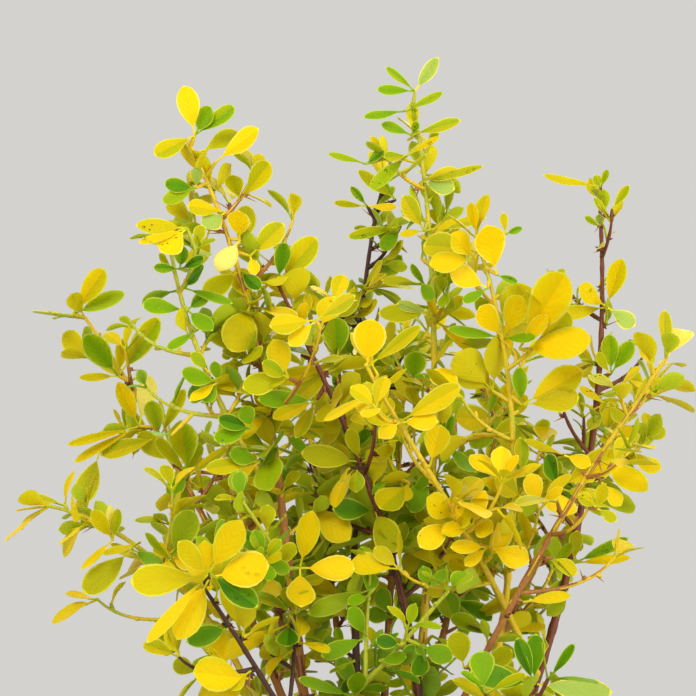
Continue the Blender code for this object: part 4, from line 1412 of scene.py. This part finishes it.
def many_cones(name, starts, ends, radii, sides, tones):
    """Cones from starts to ends as one object, closed at both ends. Radii has a row for each
    cone, with its radius at each of its three rings."""
    count, rows = len(starts), len(CONE_ROWS)
    forward = unit(ends - starts)
    level = np.where(np.abs(forward[:, 2:]) < 0.9, UP, np.array([1.0, 0, 0]))
    side = unit(np.cross(forward, level))
    ring = rings_about(side, np.cross(forward, side), sides)
    middle = starts[:, None, None] + (ends - starts)[:, None, None] * CONE_ROWS[:, None, None]
    walls = middle + ring[:, None] * radii[:, :, None, None]
    points = np.concatenate([walls.reshape(count, -1, 3), starts[:, None], ends[:, None]], axis=1)
    faces = [repeated(part, count, points.shape[1]) for part in tube_faces(rows, sides)]
    around = np.tile(angles_round(sides)[0] / (2 * np.pi), rows)
    uv = np.stack([np.repeat(np.linspace(0, 1, rows), sides), around], axis=1)
    uv = np.tile(np.concatenate([uv, [(0, 0.5), (1, 0.5)]]), (count, 1))
    slots = [np.repeat(tones, 2 * sides)] * 2
    return put_mesh(name, points.reshape(-1, 3), faces, uv, BARK_MATERIALS, slots)


feet, ends = SPURS[:, FOOT], SPURS[:, END]
thick = np.tile(SPUR_RADII, (len(SPURS), 1))
tones = np.rint(np.clip(SPURS[:, BARK], 0, LAST_BARK))
stands_for(many_cones("spurs", feet, ends, thick, SPUR_SIDES, tones), "young_twig")

chance = np.random.default_rng([SEED, 105])
old = SPURS[:, BARK] < SCALED_BARK
feet, runs = feet[old], (ends - feet)[old]
feet = np.repeat(feet + runs * SCALE_AT, SCALES, axis=0)
facing = unit(np.repeat(unit(runs), SCALES, axis=0) + chance.normal(0, SCALE_SPREAD, feet.shape))
ends = feet + facing * chance.uniform(*SCALE_LENGTH, (len(feet), 1))
thick = chance.uniform(*SCALE_RADIUS, (len(feet), 1)) * SCALE_TAPER
tones = np.zeros(len(feet))
stands_for(many_cones("bud_scales", feet, ends, thick, SCALE_SIDES, tones), "bark")

chance = np.random.default_rng([SEED, 102])
armed = SPURS[SPURS[:, BARK] < ARMED_BARK]
feet = armed[:, FOOT]
facing = unit(armed[:, OUT] + chance.normal(0, SPINE_SPREAD, feet.shape))
ends = feet + facing * chance.uniform(*SPINE_LENGTH, len(feet))[:, None]
thick = np.tile(SPINE_RADII, (len(feet), 1))
tones = np.full(len(feet), SPINE_TONE)
stands_for(many_cones("spines", feet, ends, thick, SPINE_SIDES, tones), "bark")

# %% [markdown]
# The rootstock is a low, woody knot at the soil, where all the canes meet. It is a dome whose
# surface is lifted by waves of four sizes that run round it, and it spreads at its foot into
# the backs of a few roots. Its bark is the oldest of all, so it has cracked into dull flakes.

# %% Rootstock
KNOT_ROWS = 48
KNOT_SIDES = 192
KNOT_SIZE = 0.95  # of the solid's dome
KNOT_TOP = 0.06  # angle that its flat top leaves open
KNOT_PEAK = 0.0003
STOCK_FLARE = 0.005
ROOTS = 7
KNOT_PATTERN = 20  # units of its UV map in a metre


def rootstock_material():
    """Old bark that has cracked into flakes, dark in the cracks and dull brown on them."""
    made, tree, shader, places = new_material("Rootstock bark")
    flakes = noise(tree, places["Object"], 420.0, 6.0, 0.7)
    grain = noise(tree, places["Object"], 1700.0, 3.0, 0.6)
    spread = between(tree, flakes, 0.0, 1.0, 0.38, 0.62)
    colour = blend_colours(tree, spread, linear(38, 24, 16), linear(98, 64, 42))
    roughness = between(tree, grain, 0.75, 0.95)
    fill(tree, shader, Base_Color=colour, Roughness=roughness, Specular_IOR_Level=0.2)
    first = bump(tree, shader, flakes, 0.9, 0.0012)
    bump(tree, shader, grain, 0.4, 0.0003, first)
    return made


def rootstock_surface():
    """Dome points R(h) (1 + w) out from the middle, where h runs from the soil to the top and w
    is the sum of four waves in the angle a, the finest of them bent by h. A flare fades up
    from the soil, longest on the back of each root."""
    rows = np.linspace(0, 1, KNOT_ROWS)[:, None]
    angle = angles_round(KNOT_SIDES)
    lowest = np.arcsin(STOCK_SUNK / STOCK_RADIUS)
    slope = lowest + (np.pi / 2 - KNOT_TOP - lowest) * rows
    waves = 0.035 * np.sin(5 * angle + 3 * rows) + 0.022 * np.sin(11 * angle - 7 * rows)
    waves = waves + 0.014 * np.sin(19 * angle + 4 * np.sin(9 * rows))
    waves = waves + 0.008 * np.sin(37 * angle - 6 * np.sin(17 * rows))
    relief = KNOT_SIZE + waves * np.cos(slope)
    flare = STOCK_FLARE * (1 + 0.8 * np.sin(ROOTS * angle + 1)) * (1 - rows) ** 6
    radius = STOCK_RADIUS * np.cos(slope) * relief + flare
    height = SOIL_TOP + STOCK_RADIUS * np.sin(slope) * relief - STOCK_SUNK * relief + CLEAR
    return upright_rings(radius, angle, height).reshape(-1, 3)


points = rootstock_surface()
low = points[:KNOT_SIDES].mean(axis=0)
top = points[-KNOT_SIDES:].mean(axis=0) + UP * KNOT_PEAK
points = np.vstack([points, low, top])
faces = tube_faces(KNOT_ROWS, KNOT_SIDES)
finish = [rootstock_material()]
knot = put_mesh("rootstock_bark", points, faces, points[:, :2] * KNOT_PATTERN, finish)
stands_for(knot, "bark", "rootstock")

# %% [markdown]
# The pot is unglazed clay. It could be one flat orange, but real clay is uneven and chalky: two
# reds drift into each other in soft clouds, fine grit shows, and pale lime blooms low down,
# where damp dries out.

# %% Clay
BLOOM_TOP = 0.09  # height where the last of the lime shows


def clay_material():
    """Unglazed clay: two reds in soft clouds, fine grit, and a pale bloom towards the foot."""
    made, tree, shader, places = new_material("Unglazed clay")
    here = places["Object"]
    clouds = noise(tree, here, 38.0, 6.0, 0.6)
    grit = noise(tree, here, 1100.0, 4.0, 0.7)
    mixed = between(tree, clouds, 0, 1, 0.35, 0.65)
    colour = blend_colours(tree, mixed, linear(168, 92, 58), linear(196, 116, 76))
    speck = math(tree, "MULTIPLY", between(tree, grit, 0, 1, 0.60, 0.72), 0.35)
    colour = blend_colours(tree, speck, colour, linear(120, 66, 44))
    height = node(tree, "ShaderNodeSeparateXYZ", Vector=here).outputs["Z"]
    low = between(tree, height, 1, 0, 0.0, BLOOM_TOP)
    patches = between(tree, noise(tree, here, 60.0, 8.0, 0.7), 0, 1, 0.48, 0.66)
    bloom = math(tree, "MULTIPLY", math(tree, "MULTIPLY", low, patches), 0.55)
    colour = blend_colours(tree, bloom, colour, linear(222, 200, 180))
    roughness = between(tree, clouds, 0.78, 0.94, 0.3, 0.7)
    fill(tree, shader, Base_Color=colour, Roughness=roughness, Specular_IOR_Level=0.3)
    soft = bump(tree, shader, clouds, 0.25, 0.002)
    bump(tree, shader, grit, 0.35, 0.0003, soft)
    return made


CLAY = clay_material()
print(f"{CLAY.name}: {len(CLAY.node_tree.nodes)} nodes")

# %% [markdown]
# A thrown pot has the same outline all round. So it is turned from one line of corners: the
# corners are eased, the long runs get more points, and every point is carried round the axis.

# %% Turned surfaces
def rounded(corners, radii, steps=5):
    """An outline whose corners are eased by curves that each start a radius before the corner."""
    line = [np.asarray(corners[0], float)]
    for before, corner, after, radius in zip(corners, corners[1:], corners[2:], radii):
        corner = np.asarray(corner, float)
        start = corner + unit(np.asarray(before) - corner) * radius
        end = corner + unit(np.asarray(after) - corner) * radius
        line += list(bezier([start, corner, end], steps))
    return np.array([*line, corners[-1]], float)


def filled_in(line, step):
    """The outline with more points on its long straight runs."""
    pairs = zip(line, line[1:])
    counts = [max(int(np.linalg.norm(end - start) / step), 1) for start, end in pairs]
    runs = zip(line, line[1:], counts)
    parts = [np.linspace(start, end, count, endpoint=False) for start, end, count in runs]
    return np.vstack([*parts, line[-1:]])


def turned_surface(name, line, sides, ripple, finish):
    """A closed surface turned from an outline of radius and height whose ends lie on the axis.
    Its radius also takes the ripple, a function of radius, angle and height."""
    radius, height = line[1:-1, :1], line[1:-1, 1:]
    angle = angles_round(sides)
    rings = upright_rings(radius + ripple(radius, angle, height), angle, height)
    points = np.vstack([rings.reshape(-1, 3), (0, 0, line[0, 1]), (0, 0, line[-1, 1])])
    pattern = np.broadcast_arrays(angle / (2 * np.pi), height * 10)
    uv = np.vstack([np.stack(pattern, axis=-1).reshape(-1, 2), (0.5, 0), (0.5, 1)])
    return put_mesh(name, points, tube_faces(len(radius), sides), uv, [finish])


eased = rounded([(0, 0), (1, 0), (1, 1)], [0.1])
print(f"an eased corner has {len(eased) - 2} points instead of one")

# %% [markdown]
# The pot's wall widens upward to a plain band at the rim. Its radius also carries the faint
# rings that fingers leave on a wheel, and three drain holes are then cut through its floor.

# %% Pot
POT_HEIGHT = 0.150
RIM_RADIUS = 0.0825
RIM_BAND = 0.034
RIM_STEP = 0.0045
FOOT_RADIUS = 0.054
POT_WALL = 0.0065
POT_FLOOR = 0.008
DRAIN_HOLES = 3
DRAIN_RADIUS = 0.006
DRAIN_RING = 0.030
DRAIN_SIDES = 40
POT_SIDES = 144
POT_STEP = 0.0013
WHEEL_RING = 0.0052  # from one finger ring to the next
RING_DEPTH = 0.00012


def finger_rings(radius, angle, height):
    """The wheel's rings, which fade on the floor and wander a little round the pot."""
    wall = np.clip((radius - FOOT_RADIUS * 0.7) / 0.01, 0, 1)
    return RING_DEPTH * wall * np.sin(2 * np.pi * height / WHEEL_RING + 0.6 * np.sin(angle))


def drill(piece, turn):
    """Cuts one drain hole through the pot's floor, on this bearing."""
    place = (DRAIN_RING * np.cos(turn), DRAIN_RING * np.sin(turn), POT_FLOOR / 2)
    size = {"radius": DRAIN_RADIUS, "depth": POT_FLOOR * 3}
    bpy.ops.mesh.primitive_cylinder_add(vertices=DRAIN_SIDES, location=place, **size)
    tool = bpy.context.object
    cut = piece.modifiers.new("Drain hole", "BOOLEAN")
    cut.operation = "DIFFERENCE"
    cut.object = tool
    bpy.context.view_layer.objects.active = piece
    bpy.ops.object.modifier_apply(modifier=cut.name)
    bpy.data.objects.remove(tool)


band_foot = POT_HEIGHT - RIM_BAND
under_band = RIM_RADIUS - RIM_STEP
slant = (under_band - FOOT_RADIUS) / band_foot
inner_foot = FOOT_RADIUS + slant * POT_FLOOR - POT_WALL
corners = [
    (0, 0), (FOOT_RADIUS, 0), (under_band, band_foot), (RIM_RADIUS, band_foot + 0.0002),
    (RIM_RADIUS, POT_HEIGHT), (under_band - POT_WALL, POT_HEIGHT),
    (under_band - POT_WALL, band_foot), (inner_foot, POT_FLOOR), (0, POT_FLOOR),
]
easing = (0.0022, 0.0008, 0.0014, 0.0030, 0.0024, 0.0060, 0.0040)
outline = filled_in(rounded(corners, easing), POT_STEP)
pot = turned_surface("clay_pot", outline, POT_SIDES, finger_rings, CLAY)
for number in range(DRAIN_HOLES):
    drill(pot, number * 2 * np.pi / DRAIN_HOLES + np.pi / 6)
stands_for(pot, "clay", "pot")
print(f"the pot has {len(pot.data.polygons)} faces")

# %% [markdown]
# Potting soil is dark, crumbly and a little fibrous. A flat disc with bump alone shows its
# smooth edge, so its top is a fine grid lifted by waves of several sizes. The same surface
# runs on down the inside of the pot, just clear of its wall.

# %% Soil
SOIL_RINGS = 90
SOIL_SIDES = 220
SOIL_CLEAR = CLEAR + 0.0002
SOIL_EYE = 0.0006  # radius of the innermost ring
SOIL_PATTERN = 10  # units of its UV map in a metre


def soil_material():
    """Peaty soil: near black and brown grains with pale flecks, rough all over."""
    made, tree, shader, places = new_material("Potting soil")
    clumps = noise(tree, places["Object"], 260.0, 6.0, 0.7)
    grains = noise(tree, places["Object"], 1500.0, 4.0, 0.7)
    mixed = between(tree, clumps, 0, 1, 0.35, 0.68)
    colour = blend_colours(tree, mixed, linear(26, 18, 12), linear(62, 44, 30))
    flecks = math(tree, "MULTIPLY", between(tree, grains, 0, 1, 0.66, 0.74), 0.5)
    colour = blend_colours(tree, flecks, colour, linear(128, 98, 66))
    fill(tree, shader, Base_Color=colour, Roughness=between(tree, grains, 0.85, 1.0))
    coarse = bump(tree, shader, clumps, 0.8, 0.002)
    bump(tree, shader, grains, 0.6, 0.0006, coarse)
    return made


def soil_height(x, y):
    """Height over the soil's level: products of bent waves of three sizes, down to 4 mm, which
    make soft heaps and stay under 2 mm."""
    wide = np.sin(90 * x + 1.3 * np.sin(70 * y)) * np.sin(110 * y + 0.9 * np.sin(95 * x))
    small = np.sin(420 * x + 2 * np.sin(310 * y)) * np.sin(380 * y + 2 * np.sin(350 * x))
    tiny = np.sin(1500 * x + 3 * np.sin(900 * y)) * np.sin(1350 * y + 3 * np.sin(1100 * x))
    return 0.0009 * wide + 0.0006 * small + 0.0003 * tiny - 0.0008


SOIL = soil_material()
inner = under_band - POT_WALL - SOIL_CLEAR
floor = POT_FLOOR + CLEAR
angle = angles_round(SOIL_SIDES)
radius = np.linspace(inner, SOIL_EYE, SOIL_RINGS)[:, None]
height = SOIL_TOP + soil_height(radius * np.cos(angle), radius * np.sin(angle))
rings = [
    upright_rings(inner_foot - SOIL_CLEAR, angle, floor),
    upright_rings(inner, angle, band_foot),
    upright_rings(radius, angle, height),
]
middle = rings[-1][-1].mean(axis=0)
points = np.vstack([np.concatenate(rings).reshape(-1, 3), (0, 0, floor), middle])
faces = tube_faces(SOIL_RINGS + 2, SOIL_SIDES)
soil = put_mesh("soil_surface", points, faces, points[:, :2] * SOIL_PATTERN, [SOIL])
stands_for(soil, "soil", "soil")

# %% [markdown]
# Loose crumbs of many sizes lie on the soil, and more of them lie heaped against the
# rootstock. Each is a ball of few faces, stretched and turned its own way.

# %% Crumbs
CRUMBS = 1200
CRUMB_REACH = (0.12, 0.96)  # shares of the soil's area
CRUMB_STRETCH = (0.6, 1.3)
CRUMB_RADIUS = (0.0005, 0.0019)
CRUMB_RISE = 0.4  # of its height above the soil
HEAPED = 300  # of them, which lie against the rootstock
HEAP_WIDTH = 0.009
HEAP_SLOPE = 0.2


def lumps(name, middles, sizes, turns, rings, sides, material):
    """Many small rounded lumps: a ball of few faces, stretched by three sizes and turned."""
    slope = np.linspace(-np.pi / 2, np.pi / 2, rings + 2)[1:-1, None]
    ball = upright_rings(np.cos(slope), angles_round(sides), np.sin(slope)).reshape(-1, 3)
    ball = np.vstack([ball, (0, 0, -1), (0, 0, 1)])
    x, y, z = np.moveaxis(ball[None] * sizes[:, None], -1, 0)
    cosine, sine = np.cos(turns)[:, None], np.sin(turns)[:, None]
    spun = np.stack([x * cosine - y * sine, x * sine + y * cosine, z], axis=-1)
    faces = [repeated(part, len(middles), len(ball)) for part in tube_faces(rings, sides)]
    uv = np.tile(ball[:, :2] / 2 + 0.5, (len(middles), 1))
    return put_mesh(name, (middles[:, None] + spun).reshape(-1, 3), faces, uv, [material])


chance = np.random.default_rng([SEED, 103])
reach = inner * np.sqrt(chance.uniform(*CRUMB_REACH, CRUMBS))
reach[:HEAPED] = STOCK_RADIUS + chance.uniform(-0.001, HEAP_WIDTH, HEAPED)
bearing = chance.uniform(0, 2 * np.pi, CRUMBS)
x, y = reach * np.cos(bearing), reach * np.sin(bearing)
sizes = chance.uniform(*CRUMB_STRETCH, (CRUMBS, 3)) * chance.uniform(*CRUMB_RADIUS, (CRUMBS, 1))
z = SOIL_TOP + soil_height(x, y) + sizes[:, 2] * CRUMB_RISE
z[:HEAPED] += HEAP_SLOPE * np.clip(STOCK_RADIUS + HEAP_WIDTH - reach[:HEAPED], 0, HEAP_WIDTH)
crumbs = lumps("soil_crumbs", np.stack([x, y, z], axis=1), sizes, bearing * 3, 3, 6, SOIL)
stands_for(crumbs, "soil")

# %% [markdown]
# The picture shows the bush just after watering: a few clear drops stand on the broadest
# leaves. A drop is a shallow dome that sinks a little into its leaf. The formula of the leaf
# gives the place of each, so a drop always lies on the blade.

# %% Dew
WET_LENGTH = 0.015  # shortest leaf that holds drops
FACES_UP = 0.45  # a leaf holds drops if it faces up, or forward, by more than this
FACES_FORWARD = 0.6
DEW_SHARE = 0.10
DROPS = 4  # on one wet leaf
DROP_RADIUS = 0.0010


def dew_material():
    """Clear water."""
    made, tree, shader, places = new_material("Water")
    fill(tree, shader, Base_Color=(1, 1, 1, 1), Transmission_Weight=1.0, IOR=1.33)
    film = noise(tree, places["Object"], 200.0)
    fill(tree, shader, Roughness=between(tree, film, 0.0, 0.06))
    return made


def dots_on(leaves, share, number, along, aside, sizes, power, chance):
    """Middles, relative sizes and turns of dots, this number on each of a share of the leaves,
    between these shares along them and out from the midrib. The power makes most dots small."""
    marked = np.repeat(leaves[chance.uniform(size=len(leaves)) < share], number, axis=0)
    count = len(marked)
    along = chance.uniform(*along, (count, 1))
    aside = chance.uniform(*aside, (count, 1, 1)) * chance.choice((-1, 1), (count, 1, 1))
    middles = leaf_points(marked, along, aside)[0].reshape(-1, 3)
    return middles, chance.uniform(*sizes, (count, 1)) ** power, along[:, 0]


chance = np.random.default_rng([SEED, 104])
every_leaf = np.concatenate(list(LEAVES.values()))
facing = every_leaf[:, ABOVE]
holds = (facing[:, 2] > FACES_UP) | (facing[:, 1] < -FACES_FORWARD)
wet = every_leaf[(every_leaf[:, LONG] > WET_LENGTH) & holds]
beads, size, turn = dots_on(wet, DEW_SHARE, DROPS, (0.42, 0.86), (0.1, 0.7), (0.5, 1), 3, chance)
sizes = size * DROP_RADIUS * (1, 1, 0.75)
stands_for(lumps("dew", beads, sizes, turn, 4, 8, dew_material()), "dew")

# %% [markdown]
# Late in the season many leaves carry small dead specks, where an insect or a fungus has been.
# Each is a flat brown spot that sits in the leaf, so the same small lumps serve, nearly flat.

# %% Specks
SPECKED_SHARE = 0.06
SPECKS = 3  # on one leaf
SPECK_RADIUS = 0.00045


def speck_material():
    """Dead leaf, dry and dull."""
    made, tree, shader, places = new_material("Dead speck")
    grain = noise(tree, places["Object"], 900.0)
    colour = blend_colours(tree, grain, linear(70, 44, 10), linear(118, 80, 20))
    fill(tree, shader, Base_Color=colour, Roughness=between(tree, grain, 0.6, 0.9))
    return made


chance = np.random.default_rng([SEED, 105])
spots, size, turn = dots_on(
    every_leaf, SPECKED_SHARE, SPECKS, (0.35, 0.90), (0.08, 0.75), (0.4, 1), 2, chance
)
sizes = size * SPECK_RADIUS * (1, 1, 0.6)
stands_for(lumps("leaf_specks", spots, sizes, turn, 3, 6, speck_material()), "golden_leaf")

# %% [markdown]
# A plant is photographed in soft light, so that no leaf throws a hard shadow on the next. A
# wide lamp high on the left is the key, a wider one fills from the right, and one above and
# behind draws bright edges. The floor is a plain pale sheet under the pot.

# %% Light and floor
FLOOR_HALF = 1.3
FLOOR_DROP = 0.0005  # that keeps the sheet just under the pot
AIM = Vector((0, 0, SOIL_TOP + 0.2))


def soft_lamp(name, place, size, power, colour=(1, 1, 1)):
    """A square area lamp at a place, turned to the bush's middle."""
    data = bpy.data.lights.new(name, "AREA")
    data.size = size
    data.energy = power
    data.color = colour
    lamp = bpy.data.objects.new(name, data)
    lamp.location = place
    lamp.rotation_euler = (AIM - Vector(place)).to_track_quat("-Z", "Y").to_euler()
    bpy.context.scene.collection.objects.link(lamp)


soft_lamp("Key lamp", (-0.6, -1.1, 1.4), 0.8, 15, (1.0, 0.97, 0.90))
soft_lamp("Fill lamp", (1.1, -1.1, 0.7), 1.0, 14)
soft_lamp("Back lamp", (0.3, 1.1, 1.4), 0.7, 12)

world = bpy.data.worlds.new("Studio")
world.use_nodes = True
surround = world.node_tree.nodes["Background"]
fill(world.node_tree, surround, Color=(0.86, 0.85, 0.82, 1), Strength=0.76)
bpy.context.scene.world = world
bpy.context.scene.view_settings.view_transform = "Standard"

paper, tree, shader, places = new_material("Pale paper")
sheen = between(tree, noise(tree, places["Object"], 40.0), 0.75, 0.9)
fill(tree, shader, Base_Color=linear(196, 194, 188), Roughness=sheen)
bpy.ops.mesh.primitive_plane_add(size=2 * FLOOR_HALF, location=(0, 0, -FLOOR_DROP))
sheet = bpy.context.object
sheet.name = "Floor"
sheet.data.materials.append(paper)
print(f"{len(bpy.data.lights)} lamps, and a floor {2 * FLOOR_HALF} m wide")
